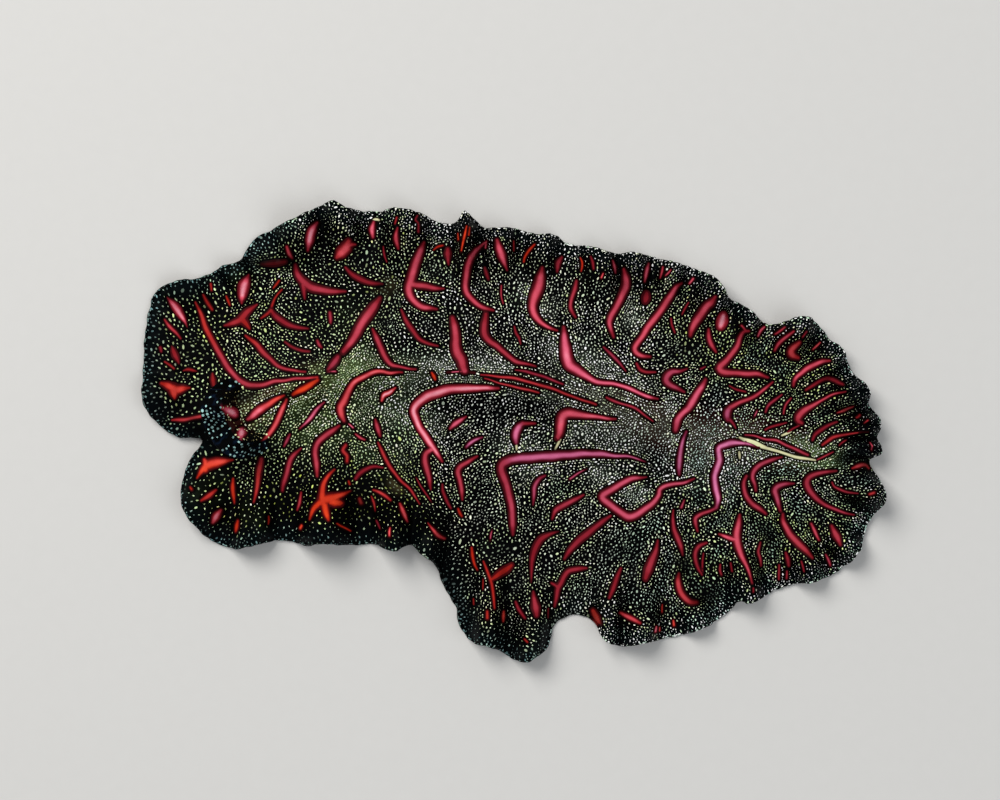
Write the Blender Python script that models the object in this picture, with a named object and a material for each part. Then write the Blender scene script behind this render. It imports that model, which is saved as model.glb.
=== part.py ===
"""Persian carpet flatworm, life size, resting on its sole with the ruffled margin raised in folds.

The animal is one thin sheet. Its plan is an outline round a bent midline, its height is a set of
crests that run out to the margin, and its thickness falls from the median ridge to the lip.
The sheet is parted into head, trunk, flanks, tail and lengths of frill, and the front margin
is turned up into two ear-like pseudotentacles that stand on the head.
The head points to -X, the tail to +X, the animal's right side to +Y. Sizes are in millimetres.
"""
import math

import bmesh
import bpy
import numpy as np

OBJECT_NAME = "persian_carpet_flatworm"
MM = 0.001

# Sizes across the sheet
NODE_GAP = 0.3
LIP_THICKNESS = 0.55
FLANK_THICKNESS = 1.10
FLANK_SPREAD = 11.0
RIDGE_THICKNESS = 2.20
RIDGE_SPREAD = 3.2
RIDGE_AT_HEAD = 0.55
RIDGE_AT_TAIL = 0.40
STEEPEST_THICKENING = 2.0

# How the folds leave the floor
SOLE_LEVEL = 0.20
SOLE_BLEND = 0.50
LIP_DROOP = 0.22
DROOP_STARTS_AT = 0.75
SLOPE_STEP = 0.05

# The midline from the brain to the tail, along which the median ridge runs
MIDLINE = [(-29.5, 1.3), (-26.5, 3.0), (-22.8, 5.0), (-18.5, 6.3), (-12.0, 6.6), (-1.3, 5.75),
           (9.4, 3.4), (18.0, 0.0), (26.6, -0.9), (34.0, -3.0)]
RIDGE_FULL_FROM = 0.30
RIDGE_FULL_TO = 0.62

# The margin as a person would walk round it, from the notch in front of the head
NOTCH = (-33.6, -1.0)
TAIL_NOTCH = (38.7, -3.2)
CAVITY = (6.5, -19.9)
RIGHT_LOBE = [(-36.2, -0.7), (-38.4, 0.8), (-39.9, 3.2), (-40.0, 7.5), (-39.6, 12.2), (-38.7, 15.0),
              (-36.6, 16.2), (-34.0, 16.6), (-31.4, 17.8), (-29.5, 18.5)]
RIGHT_SHOULDER = [(-28.3, 20.5), (-26.2, 21.8), (-23.8, 22.7), (-21.3, 24.1), (-19.4, 24.8),
                  (-17.6, 24.1), (-15.0, 23.8)]
RIGHT_FRONT = [(-12.4, 24.1), (-10.0, 23.6), (-8.0, 22.7), (-6.2, 22.6), (-5.2, 23.7),
               (-4.2, 23.0), (-2.6, 22.0), (0.2, 22.0), (2.4, 21.4), (4.6, 21.2), (6.0, 20.4)]
RIGHT_MIDDLE = [(8.6, 20.0), (10.6, 19.4), (13.2, 19.3), (16.0, 18.7), (18.6, 18.0)]
RIGHT_REAR = [(20.6, 17.4), (22.3, 16.1), (23.4, 14.4), (24.5, 14.0), (26.2, 12.6), (27.7, 11.6)]
RIGHT_TAIL = [(29.4, 12.0), (31.2, 12.4), (32.9, 11.7), (34.3, 10.1), (35.8, 8.6), (36.9, 6.4),
              (38.2, 4.8), (38.7, 2.9), (39.6, 1.2), (39.5, -0.5), (39.8, -2.2)]
LEFT_TAIL = [(39.4, -4.8), (40.1, -6.8), (39.7, -8.2), (38.4, -10.3), (37.4, -12.8),
             (35.6, -14.9), (33.2, -16.1)]
LEFT_REAR = [(30.2, -16.6), (27.8, -17.6), (25.4, -18.5), (24.4, -18.4), (22.8, -20.1)]
LEFT_MIDDLE = [(20.0, -21.5), (16.8, -22.5), (14.0, -22.7), (11.8, -23.2), (9.9, -22.5),
               (8.5, -20.5)]
LEFT_FRONT = [(4.6, -21.0), (3.9, -23.2), (1.8, -24.7), (-0.4, -24.5), (-2.2, -23.2),
              (-4.4, -22.7), (-5.8, -21.0), (-6.2, -19.2), (-7.6, -16.6)]
LEFT_SHOULDER = [(-8.4, -14.4), (-9.9, -13.1), (-11.0, -12.3), (-12.6, -12.8), (-14.8, -12.3),
                 (-17.2, -12.4), (-20.0, -12.0), (-22.4, -12.3), (-25.0, -11.8)]
LEFT_LOBE = [(-27.4, -12.2), (-29.8, -12.7), (-32.2, -12.1), (-34.4, -10.0), (-35.7, -7.8),
             (-35.7, -5.2), (-34.9, -2.9)]
MARGIN = ([NOTCH] + RIGHT_LOBE + RIGHT_SHOULDER + RIGHT_FRONT + RIGHT_MIDDLE + RIGHT_REAR
          + RIGHT_TAIL + [TAIL_NOTCH] + LEFT_TAIL + LEFT_REAR + LEFT_MIDDLE + [CAVITY]
          + LEFT_FRONT + LEFT_SHOULDER + LEFT_LOBE)

# Crests of the frill: the inner end, the outer end, the height there and the half width
CRESTS = [
    ((-34.0, 4.0), (-39.5, 3.5), 2.2, 2.2),
    ((-32.5, 11.0), (-36.0, 16.0), 2.6, 1.8),
    ((-27.0, 14.0), (-30.4, 17.8), 2.4, 1.3),
    ((-22.0, 16.5), (-23.4, 23.0), 5.0, 2.1),
    ((-18.0, 17.0), (-18.6, 24.4), 4.6, 1.8),
    ((-11.5, 14.0), (-11.6, 23.8), 3.8, 2.0),
    ((-5.0, 14.0), (-5.1, 23.6), 5.2, 0.95),
    ((-1.0, 15.0), (-1.4, 21.8), 3.6, 1.4),
    ((2.4, 14.0), (3.4, 21.2), 3.4, 1.3),
    ((9.8, 11.0), (9.4, 19.6), 3.2, 1.4),
    ((13.0, 12.0), (13.2, 19.2), 3.8, 1.2),
    ((16.0, 12.0), (17.4, 18.3), 2.8, 1.2),
    ((20.0, 10.0), (22.2, 15.8), 4.4, 1.6),
    ((25.0, 8.5), (25.6, 13.0), 3.2, 1.1),
    ((29.0, 7.0), (31.0, 12.2), 4.6, 1.7),
    ((31.0, 4.5), (35.4, 9.0), 3.0, 1.2),
    ((32.0, 2.5), (38.2, 4.6), 3.6, 1.1),
    ((33.0, 0.0), (39.4, 0.9), 3.2, 1.0),
    ((34.0, -1.6), (39.6, -2.0), 2.4, 0.8),
    ((33.5, -5.0), (39.8, -6.8), 4.2, 1.5),
    ((33.0, -9.5), (37.0, -13.2), 3.4, 1.4),
    ((30.0, -10.0), (32.3, -16.1), 3.4, 1.3),
    ((24.5, -11.0), (25.4, -18.2), 4.4, 1.5),
    ((19.0, -17.0), (20.2, -21.2), 3.0, 1.5),
    ((14.5, -13.0), (13.6, -22.6), 4.8, 1.8),
    ((10.6, -14.0), (10.2, -22.6), 3.8, 1.2),
    ((2.6, -13.0), (2.0, -24.4), 4.2, 1.5),
    ((-2.0, -10.0), (-2.8, -22.8), 5.0, 1.5),
    ((-8.0, -7.0), (-9.4, -12.9), 5.6, 1.5),
    ((-13.0, -5.5), (-12.8, -12.6), 6.2, 1.6),
    ((-20.0, -3.0), (-20.2, -12.0), 6.6, 2.3),
    ((-27.0, -4.5), (-28.2, -12.3), 4.2, 1.8),
    ((-31.0, -3.8), (-34.4, -8.8), 3.4, 2.4),
]

# The core is the strip on both sides of the midline, and the spokes join its rim to the margin.
# A place on the rim runs from 0 to 1 along the right side, to 2 across the tail end, to 3 back
# along the left side and to 4 across the head end.
CORE_START = 0.09
CORE_END = 0.89
CORE_HALF_WIDTH = 3.6
CORE_END_HALF_WIDTH = 2.3
SPOKES = [(0.0, (-38.7, 15.0)), (0.5, (2.4, 21.4)), (1.0, (34.3, 10.1)), (1.5, TAIL_NOTCH),
          (2.0, (35.6, -14.9)), (2.5, (0.6, -24.7)), (3.0, (-34.4, -10.0)), (3.5, NOTCH)]
RIM_TURN = 4.0

# Where the sheet is parted
TRUNK_CUTS = (0.0, 0.34, 0.67, 1.0)
FRILL_STARTS = 0.50
HEAD_FROM, HEAD_TO = 2.93, 4.07
HEAD_REACH = 8.9
TAIL_FROM, TAIL_TO = 0.90, 2.10
TAIL_REACH = 5.6
ROOT_FADE = 0.15
FRILLS = [("frill_right_lobe", NOTCH, (-29.5, 18.5)),
          ("frill_right_shoulder", (-29.5, 18.5), (-15.0, 23.8)),
          ("frill_right_front", (-15.0, 23.8), (6.0, 20.4)),
          ("frill_right_middle", (6.0, 20.4), (18.6, 18.0)),
          ("frill_right_rear", (18.6, 18.0), (27.7, 11.6)),
          ("frill_right_tail", (27.7, 11.6), TAIL_NOTCH),
          ("frill_left_tail", TAIL_NOTCH, (33.2, -16.1)),
          ("frill_left_rear", (33.2, -16.1), (22.8, -20.1)),
          ("frill_left_middle", (22.8, -20.1), CAVITY),
          ("frill_left_front", CAVITY, (-7.6, -16.6)),
          ("frill_left_shoulder", (-7.6, -16.6), (-25.0, -11.8)),
          ("frill_left_lobe", (-25.0, -11.8), NOTCH)]

# The pseudotentacles, in a frame of their own: forward and to the right from their centre
COLLAR_CENTRE = (-29.0, 1.55)
COLLAR_HEADING = 208.0
FOOT_CENTRE, FOOT_FORWARD, FOOT_SIDE = -1.6, 1.7, 2.6
LIP_FORWARD, LIP_SIDE = 3.8, 4.2
EAR_AT, EAR_SPREAD, EAR_ROUNDNESS = 42.0, 28.0, 2.6
EAR_HEIGHT, EAR_VALLEY, EAR_END = 4.3, 1.3, 0.5
EAR_LIP_SHARE = 0.80
EAR_SWEEP = 90.0
EAR_LEAST_THICKNESS = 0.1
CREST_PLACE = 0.38
RISE_STARTS_AT = -0.06
HOOD_ROUNDNESS = 0.8
FOOT_SHARE = 0.42

# Fineness of the solids
CORE_LENGTH_STEP, CORE_ROWS = 2.0, 6
FRILL_STEP, FRILL_ROWS = 1.05, 8
FLANK_STEP, FLANK_ROWS = 2.2, 3
FLANK_SKEW = 1.35
HEAD_COLUMNS, HEAD_ROWS, TAIL_ROWS = 16, 6, 4
EAR_COLUMNS, EAR_ROWS = 14, 12
CURVE_SAMPLES = 24
MARGIN_SAMPLES = 200
MIDLINE_STEP = 0.01
HARD_EDGE = 40.0

BLACK_VELVET = (0.012, 0.011, 0.013)
DARK_CRIMSON = (0.10, 0.016, 0.022)
TEAL_BLACK = (0.014, 0.020, 0.024)


class Curve:
    """A smooth curve through points, read by the share of its length or by the nearest point."""

    def __init__(self, points, closed=False):
        points = np.array(points, dtype=float)
        if closed:
            knots = np.vstack([points[-1:], points, points[:2]])
        else:
            before = 2 * points[0] - points[1]
            after = 2 * points[-1] - points[-2]
            knots = np.vstack([before, points, after])
        runs = []
        share = np.linspace(0.0, 1.0, CURVE_SAMPLES, endpoint=False)[:, None]
        for a, b, c, d in zip(knots, knots[1:], knots[2:], knots[3:]):
            runs.append(0.5 * (2 * b + (c - a) * share + (2 * a - 5 * b + 4 * c - d) * share ** 2
                               + (3 * b - a - 3 * c + d) * share ** 3))
        runs.append(points[:1] if closed else points[-1:])
        self.dense = np.vstack(runs)
        lengths = np.linalg.norm(np.diff(self.dense, axis=0), axis=1)
        self.along = np.concatenate([[0.0], np.cumsum(lengths)])
        self.length = self.along[-1]
        self.along = self.along / self.length

    def at(self, share):
        share = np.asarray(share, dtype=float)
        return np.stack([np.interp(share, self.along, self.dense[:, k]) for k in (0, 1)], axis=-1)

    def share_near(self, point):
        distances = np.linalg.norm(self.dense[:-1] - np.array(point), axis=1)
        return float(self.along[int(np.argmin(distances))])

    def distance_and_share(self, plan):
        """The distance of each plan point from the curve, and the share of the length there."""
        flat = plan.reshape(-1, 2)
        best = np.full(len(flat), np.inf)
        where = np.zeros(len(flat))
        for point, share in zip(self.dense, self.along):
            away = np.hypot(flat[:, 0] - point[0], flat[:, 1] - point[1])
            nearer = away < best
            best = np.where(nearer, away, best)
            where = np.where(nearer, share, where)
        return best.reshape(plan.shape[:-1]), where.reshape(plan.shape[:-1])


def smooth_step(low, high, value):
    share = np.clip((np.asarray(value, dtype=float) - low) / (high - low), 0.0, 1.0)
    return share * share * (3.0 - 2.0 * share)


MIDLINE_CURVE = Curve(MIDLINE)
MARGIN_CURVE = Curve(MARGIN, closed=True)


def fold_height(plan):
    """How far the under side of the sheet is above the floor: 0 on the sole and in the valleys."""
    total = np.zeros(plan.shape[:-1])
    for inner, outer, height, width in CRESTS:
        inner, outer = np.array(inner), np.array(outer)
        run = np.linalg.norm(outer - inner)
        ahead = (outer - inner) / run
        offset = plan - inner
        along = offset @ ahead
        across = offset[..., 0] * ahead[1] - offset[..., 1] * ahead[0]
        behind = np.minimum(along, 0.0)
        ridge = np.exp(-(across ** 2 + behind ** 2) / width ** 2)
        total += (height * smooth_step(0.0, run, along) * ridge) ** 2
    rise = np.maximum(np.sqrt(total) - SOLE_LEVEL, 0.0)
    return rise * rise / (rise + SOLE_BLEND)


def slope_of(plan):
    """The steepness of the folds at each plan point."""
    east = np.array([SLOPE_STEP, 0.0])
    north = np.array([0.0, SLOPE_STEP])
    run = 2 * SLOPE_STEP
    along_x = (fold_height(plan + east) - fold_height(plan - east)) / run
    along_y = (fold_height(plan + north) - fold_height(plan - north)) / run
    return np.hypot(along_x, along_y)


def sheet_thickness(plan):
    """Flesh measured straight up: thick on the median ridge, thin at the lip."""
    away, share = MIDLINE_CURVE.distance_and_share(plan)
    head_part = RIDGE_AT_HEAD + (1.0 - RIDGE_AT_HEAD) * smooth_step(0.0, RIDGE_FULL_FROM, share)
    tail_part = RIDGE_AT_TAIL + (1.0 - RIDGE_AT_TAIL) * smooth_step(1.0, RIDGE_FULL_TO, share)
    ridge = RIDGE_THICKNESS * head_part * tail_part * np.exp(-(away / RIDGE_SPREAD) ** 2)
    flank = FLANK_THICKNESS * np.exp(-(away / FLANK_SPREAD) ** 2)
    steepness = np.minimum(np.hypot(1.0, slope_of(plan)), STEEPEST_THICKENING)
    return (LIP_THICKNESS + flank + ridge) * steepness


def lower_and_upper(plan, outward):
    """Heights of both faces of the sheet; outward is 1 at the margin and 0 inside."""
    droop = 1.0 - LIP_DROOP * smooth_step(DROOP_STARTS_AT, 1.0, outward)
    lower = fold_height(plan) * droop
    return lower, lower + sheet_thickness(plan)


def core_point(along, across):
    """Plan point of the core: along runs from the head end to the tail end, across from -1 to 1."""
    share = CORE_START + (CORE_END - CORE_START) * along
    middle = MIDLINE_CURVE.at(share)
    ahead = MIDLINE_CURVE.at(share + MIDLINE_STEP) - MIDLINE_CURVE.at(share - MIDLINE_STEP)
    ahead = ahead / np.linalg.norm(ahead, axis=-1, keepdims=True)
    to_right = np.stack([-ahead[..., 1], ahead[..., 0]], axis=-1)
    swell = np.sin(np.pi * along) ** 0.5
    half = CORE_END_HALF_WIDTH + (CORE_HALF_WIDTH - CORE_END_HALF_WIDTH) * swell
    return middle + to_right * (half * across)[..., None]


def rim_point(place):
    """Plan point on the rim of the core."""
    place = np.mod(place, RIM_TURN)
    corners = np.array([0.0, 1.0, 2.0, 3.0, 4.0])
    along = np.interp(place, corners, [0.0, 1.0, 1.0, 0.0, 0.0])
    across = np.interp(place, corners, [1.0, 1.0, -1.0, -1.0, 1.0])
    return core_point(along, across)


SPOKE_PLACES = [place for place, _ in SPOKES] + [RIM_TURN]
SPOKE_SHARES = [MARGIN_CURVE.share_near(point) for _, point in SPOKES]
FIRST_SPOKE = SPOKE_SHARES[0]
SPOKE_TURNS = [(share - FIRST_SPOKE) % 1.0 for share in SPOKE_SHARES] + [1.0]


def margin_point(place):
    turn = np.interp(np.mod(place, RIM_TURN), SPOKE_PLACES, SPOKE_TURNS)
    return MARGIN_CURVE.at(np.mod(turn + FIRST_SPOKE, 1.0))


def place_of(point):
    """The place on the rim whose spoke ends at this point of the margin."""
    turn = (MARGIN_CURVE.share_near(point) - FIRST_SPOKE) % 1.0
    return float(np.interp(turn, SPOKE_TURNS, SPOKE_PLACES))


def spoke_length(place):
    return np.linalg.norm(margin_point(place) - rim_point(place), axis=-1)


def skirt_point(place, outward):
    inner = rim_point(place)
    return inner + (margin_point(place) - inner) * outward[..., None]


def nearness(place, start, end):
    """1 between two places on the rim, fading to 0 outside them; the range may pass the turn."""
    middle, half = (start + end) / 2, (end - start) / 2
    away = np.abs(np.mod(place - middle + RIM_TURN / 2, RIM_TURN) - RIM_TURN / 2) - half
    return 1.0 - smooth_step(0.0, ROOT_FADE, away)


def frill_root(place):
    """The share of a spoke where the frill begins: at a set reach beside the head and the tail."""
    length = spoke_length(place)
    at_head = nearness(place, HEAD_FROM, HEAD_TO)
    at_tail = nearness(place, TAIL_FROM, TAIL_TO)
    root = FRILL_STARTS + at_head * (HEAD_REACH / length - FRILL_STARTS)
    return root + at_tail * (TAIL_REACH / length - FRILL_STARTS)


def grid_shares(columns, rows):
    return np.meshgrid(np.linspace(0, 1, columns + 1), np.linspace(0, 1, rows + 1), indexing="ij")


def draw_in(plan, sides):
    """Moves the named sides of a plan grid inwards by half the gap between nodes."""
    plan = plan.copy()
    for side in sides:
        turned = plan if side in ("start", "end") else plan.transpose(1, 0, 2)
        if side in ("end", "outer"):
            turned = turned[::-1]
        line = turned[0].copy()
        along = np.gradient(line, axis=0)
        along /= np.linalg.norm(along, axis=1, keepdims=True)
        normal = np.stack([-along[:, 1], along[:, 0]], axis=1)
        inward = np.sum(normal * (turned[1] - line), axis=1, keepdims=True)
        turned[0] = line + normal * np.sign(inward) * NODE_GAP / 2
    return plan


def material_for(name, colour, roughness):
    material = bpy.data.materials.new(name + "_flesh")
    material.use_nodes = True
    shader = material.node_tree.nodes["Principled BSDF"]
    shader.inputs["Base Color"].default_value = (*colour, 1.0)
    shader.inputs["Roughness"].default_value = roughness
    shader.inputs["Metallic"].default_value = 0.0
    return material


def slab(collection, name, upper, lower, colour, roughness):
    """A solid between two like grids of points, split into triangles alike on both faces."""
    columns, rows = upper.shape[0] - 1, upper.shape[1] - 1
    bm = bmesh.new()
    bmesh.ops.create_grid(bm, x_segments=columns, y_segments=rows, size=1.0)
    bmesh.ops.triangulate(bm, faces=bm.faces[:], quad_method="FIXED")
    place = {}
    for vertex in bm.verts:
        i = round((vertex.co.x + 1.0) / 2.0 * columns)
        j = round((vertex.co.y + 1.0) / 2.0 * rows)
        place[vertex] = (i, j)
    grown = bmesh.ops.extrude_face_region(bm, geom=bm.faces[:], use_keep_orig=True)
    copies = [part for part in grown["geom"] if isinstance(part, bmesh.types.BMVert)]
    for vertex in copies:
        i = round((vertex.co.x + 1.0) / 2.0 * columns)
        j = round((vertex.co.y + 1.0) / 2.0 * rows)
        vertex.co = upper[i, j] * MM
    for vertex, (i, j) in place.items():
        vertex.co = lower[i, j] * MM
    bmesh.ops.recalc_face_normals(bm, faces=bm.faces[:])
    mesh = bpy.data.meshes.new(name)
    bm.to_mesh(mesh)
    bm.free()
    mesh.shade_smooth()
    mesh.set_sharp_from_angle(angle=math.radians(HARD_EDGE))
    mesh.materials.append(material_for(name, colour, roughness))
    node = bpy.data.objects.new(name, mesh)
    collection.objects.link(node)
    return node


def sheet_slab(collection, name, plan, outward, colour, roughness=0.5):
    lower, upper = lower_and_upper(plan, outward)
    return slab(collection, name, np.dstack([plan, upper]), np.dstack([plan, lower]),
                colour, roughness)


def make_trunk(collection):
    names = ("trunk_front", "trunk_middle", "trunk_rear")
    length = MIDLINE_CURVE.length * (CORE_END - CORE_START)
    for name, start, end in zip(names, TRUNK_CUTS, TRUNK_CUTS[1:]):
        columns = round(length * (end - start) / CORE_LENGTH_STEP)
        along, across = grid_shares(columns, CORE_ROWS)
        plan = core_point(start + (end - start) * along, across * 2.0 - 1.0)
        plan = draw_in(plan, ("start", "end", "inner", "outer"))
        sheet_slab(collection, name, plan, np.zeros_like(along), DARK_CRIMSON)


def skirt_patch(start, end, inner, outer, columns, rows):
    """Plan grid of a patch between two spokes, from one share of the spokes to another."""
    turn, share = grid_shares(columns, rows)
    place = start + (end - start) * turn
    low, high = inner(place), outer(place)
    outward = low + (high - low) * share
    return skirt_point(place, outward), outward


def at_rim(place):
    return np.zeros_like(place)


def at_margin(place):
    return np.ones_like(place)


def make_head_and_tail(collection):
    inner_patches = (("head", HEAD_FROM, HEAD_TO, HEAD_ROWS), ("tail", TAIL_FROM, TAIL_TO, TAIL_ROWS))
    for name, start, end, rows in inner_patches:
        plan, outward = skirt_patch(start, end, at_rim, frill_root, HEAD_COLUMNS, rows)
        plan = draw_in(plan, ("start", "end", "inner", "outer"))
        sheet_slab(collection, name, plan, outward, BLACK_VELVET)


def make_flanks(collection):
    right_start, right_middle, right_end = HEAD_TO - RIM_TURN, 0.5, TAIL_FROM
    left_start, left_middle, left_end = TAIL_TO, 2.5, HEAD_FROM
    flanks = (("flank_right_front", right_start, right_middle),
              ("flank_right_rear", right_middle, right_end),
              ("flank_left_rear", left_start, left_middle),
              ("flank_left_front", left_middle, left_end))
    for name, start, end in flanks:
        run = np.linalg.norm(rim_point(np.array(end)) - rim_point(np.array(start)))
        columns = round(FLANK_SKEW * run / FLANK_STEP)
        plan, outward = skirt_patch(start, end, at_rim, frill_root, columns, FLANK_ROWS)
        plan = draw_in(plan, ("start", "end", "inner", "outer"))
        sheet_slab(collection, name, plan, outward, BLACK_VELVET)


def make_frills(collection):
    for name, first, last in FRILLS:
        start, end = place_of(first), place_of(last)
        if end < start:
            end += RIM_TURN
        samples = margin_point(np.linspace(start, end, MARGIN_SAMPLES))
        run = np.linalg.norm(np.diff(samples, axis=0), axis=1).sum()
        columns = round(run / FRILL_STEP)
        plan, outward = skirt_patch(start, end, frill_root, at_margin, columns, FRILL_ROWS)
        plan = draw_in(plan, ("start", "end", "inner"))
        sheet_slab(collection, name, plan, outward, TEAL_BLACK)


def collar_plan(angle, share):
    """Plan point of the upturned margin: share 0 on its rear foot, 1 on its lip."""
    foot_forward = FOOT_CENTRE + FOOT_FORWARD * np.cos(angle)
    foot_side = FOOT_SIDE * np.sin(angle)
    forward = foot_forward + (LIP_FORWARD * np.cos(angle) - foot_forward) * share
    side = foot_side + (LIP_SIDE * np.sin(angle) - foot_side) * share
    heading = math.radians(COLLAR_HEADING)
    x = COLLAR_CENTRE[0] + forward * math.cos(heading) + side * math.sin(heading)
    y = COLLAR_CENTRE[1] + forward * math.sin(heading) - side * math.cos(heading)
    return np.stack([x, y], axis=-1)


def ear_height(angle):
    """The crest of the pseudotentacles: an ear on each side and a valley between them."""
    from_heading = np.abs(np.degrees(angle))
    bump = np.exp(-(np.abs(from_heading - EAR_AT) / EAR_SPREAD) ** EAR_ROUNDNESS)
    away = np.clip(from_heading / EAR_SWEEP, 0.0, 1.0)
    low = EAR_VALLEY + (EAR_END - EAR_VALLEY) * away
    return low + (EAR_HEIGHT - low) * bump


def make_pseudotentacles(collection):
    half_gap = NODE_GAP / 2
    first = math.asin(half_gap / FOOT_SIDE)
    for name, side in (("pseudotentacle_right", 1.0), ("pseudotentacle_left", -1.0)):
        turn, share = grid_shares(EAR_COLUMNS, EAR_ROWS)
        angle = side * (first + (math.radians(EAR_SWEEP) - first) * turn)
        crest = ear_height(angle)
        lip = crest * EAR_LIP_SHARE
        fall = 1.0 - (1.0 - EAR_LIP_SHARE) * smooth_step(CREST_PLACE, 1.0, share)
        rise = smooth_step(RISE_STARTS_AT, CREST_PLACE, share)
        upper_plan = collar_plan(angle, share)
        foot = np.minimum(share * 2.0, 1.0) * FOOT_SHARE
        beyond = np.maximum(share * 2.0 - 1.0, 0.0)
        lower_plan = collar_plan(angle, foot + (1.0 - FOOT_SHARE) * beyond)
        _, floor = lower_and_upper(upper_plan, np.zeros_like(share))
        _, foot_floor = lower_and_upper(lower_plan, np.zeros_like(share))
        reach = 1.0 - smooth_step(0.0, 1.0, share)
        level = floor[:, :1] * np.ones_like(share)
        ground = foot_floor * (1.0 - beyond) + level * beyond + NODE_GAP
        upper = level * (1.0 - reach) + floor * reach + NODE_GAP + crest * rise * fall
        under_lip = np.maximum(lip - LIP_THICKNESS, EAR_LEAST_THICKNESS)
        lower = ground + under_lip * beyond ** HOOD_ROUNDNESS
        slab(collection, name, np.dstack([upper_plan, upper]), np.dstack([lower_plan, lower]),
             TEAL_BLACK, 0.5)


def main():
    for item in list(bpy.data.objects):
        bpy.data.objects.remove(item, do_unlink=True)
    collection = bpy.data.collections.new(OBJECT_NAME)
    bpy.context.scene.collection.children.link(collection)
    make_trunk(collection)
    make_head_and_tail(collection)
    make_flanks(collection)
    make_frills(collection)
    make_pseudotentacles(collection)


main()
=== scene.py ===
"""Persian carpet flatworm: the skin, its bars, spots, pseudotentacles and under side, and the studio.

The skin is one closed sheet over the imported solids. It follows the same outline, crests and thickness
as they do, at a finer step. The bars are strokes of the animal's own markings, held as places in
millimetres and widths, and raised a little on the skin. The spots are thousands of small domes, laid
in rows beside the bars and scattered evenly elsewhere. Places on the plan are in millimetres.
"""
import math
import random

import bpy
import numpy as np
from bpy.props import FloatProperty, FloatVectorProperty, PointerProperty
from bpy.types import Operator, Panel, PropertyGroup
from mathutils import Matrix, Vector
from mathutils.geometry import delaunay_2d_cdt
from mathutils.kdtree import KDTree


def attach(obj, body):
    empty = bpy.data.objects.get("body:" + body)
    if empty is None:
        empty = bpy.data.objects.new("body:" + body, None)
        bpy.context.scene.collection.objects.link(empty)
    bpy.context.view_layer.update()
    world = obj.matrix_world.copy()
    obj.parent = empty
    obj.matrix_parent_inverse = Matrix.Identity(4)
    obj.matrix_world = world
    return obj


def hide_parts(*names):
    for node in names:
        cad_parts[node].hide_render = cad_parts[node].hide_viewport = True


bl_info = {
    "name": "Persian carpet flatworm",
    "version": (1, 0, 0),
    "blender": (4, 5, 0),
    "location": "3D View > Sidebar > Flatworm",
    "description": "Builds a life-size persian carpet flatworm at rest, with its markings and a studio",
    "category": "Object",
}

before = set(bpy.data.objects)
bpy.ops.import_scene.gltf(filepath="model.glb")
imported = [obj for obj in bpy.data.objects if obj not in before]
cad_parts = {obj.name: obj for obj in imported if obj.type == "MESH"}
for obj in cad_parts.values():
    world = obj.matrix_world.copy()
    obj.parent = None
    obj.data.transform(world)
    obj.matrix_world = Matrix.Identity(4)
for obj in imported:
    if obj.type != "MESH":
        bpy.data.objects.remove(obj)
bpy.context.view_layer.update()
NODES = sorted(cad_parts)
EAR_NODES = [name for name in NODES if name.startswith("pseudotentacle")]
SKIN_NODES = [name for name in NODES if name not in EAR_NODES]

MM = 0.001
BAKE_MAP = "OFBake"

# How the folds leave the floor
SOLE_LEVEL = 0.20
SOLE_BLEND = 0.50
CREST_ROUNDNESS = 1.25
LIP_DROOP = 0.22
DROOP_ZONE = 3.2
SLOPE_STEP = 0.05
STEEPEST_THICKENING = 2.0
RIDGE_AT_HEAD = 0.55
RIDGE_AT_TAIL = 0.40
RIDGE_FULL_FROM = 0.30
RIDGE_FULL_TO = 0.62
FLANK_SPREAD = 11.0
RIDGE_SPREAD = 3.2

# The midline from the brain to the tail, along which the median ridge runs
MIDLINE = [(-29.5, 1.3), (-26.5, 3.0), (-22.8, 5.0), (-18.5, 6.3), (-12.0, 6.6), (-1.3, 5.75),
           (9.4, 3.4), (18.0, 0.0), (26.6, -0.9), (34.0, -3.0)]

# The margin as a person would walk round it, from the notch in front of the head
NOTCH = (-33.6, -1.0)
TAIL_NOTCH = (38.7, -3.2)
CAVITY = (6.5, -19.9)
RIGHT_LOBE = [(-36.2, -0.7), (-38.4, 0.8), (-39.9, 3.2), (-40.0, 7.5), (-39.6, 12.2), (-38.7, 15.0),
              (-36.6, 16.2), (-34.0, 16.6), (-31.4, 17.8), (-29.5, 18.5)]
RIGHT_SHOULDER = [(-28.3, 20.5), (-26.2, 21.8), (-23.8, 22.7), (-21.3, 24.1), (-19.4, 24.8),
                  (-17.6, 24.1), (-15.0, 23.8)]
RIGHT_FRONT = [(-12.4, 24.1), (-10.0, 23.6), (-8.0, 22.7), (-6.2, 22.6), (-5.2, 23.7),
               (-4.2, 23.0), (-2.6, 22.0), (0.2, 22.0), (2.4, 21.4), (4.6, 21.2), (6.0, 20.4)]
RIGHT_MIDDLE = [(8.6, 20.0), (10.6, 19.4), (13.2, 19.3), (16.0, 18.7), (18.6, 18.0)]
RIGHT_REAR = [(20.6, 17.4), (22.3, 16.1), (23.4, 14.4), (24.5, 14.0), (26.2, 12.6), (27.7, 11.6)]
RIGHT_TAIL = [(29.4, 12.0), (31.2, 12.4), (32.9, 11.7), (34.3, 10.1), (35.8, 8.6), (36.9, 6.4),
              (38.2, 4.8), (38.7, 2.9), (39.6, 1.2), (39.5, -0.5), (39.8, -2.2)]
LEFT_TAIL = [(39.4, -4.8), (40.1, -6.8), (39.7, -8.2), (38.4, -10.3), (37.4, -12.8),
             (35.6, -14.9), (33.2, -16.1)]
LEFT_REAR = [(30.2, -16.6), (27.8, -17.6), (25.4, -18.5), (24.4, -18.4), (22.8, -20.1)]
LEFT_MIDDLE = [(20.0, -21.5), (16.8, -22.5), (14.0, -22.7), (11.8, -23.2), (9.9, -22.5),
               (8.5, -20.5)]
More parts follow.
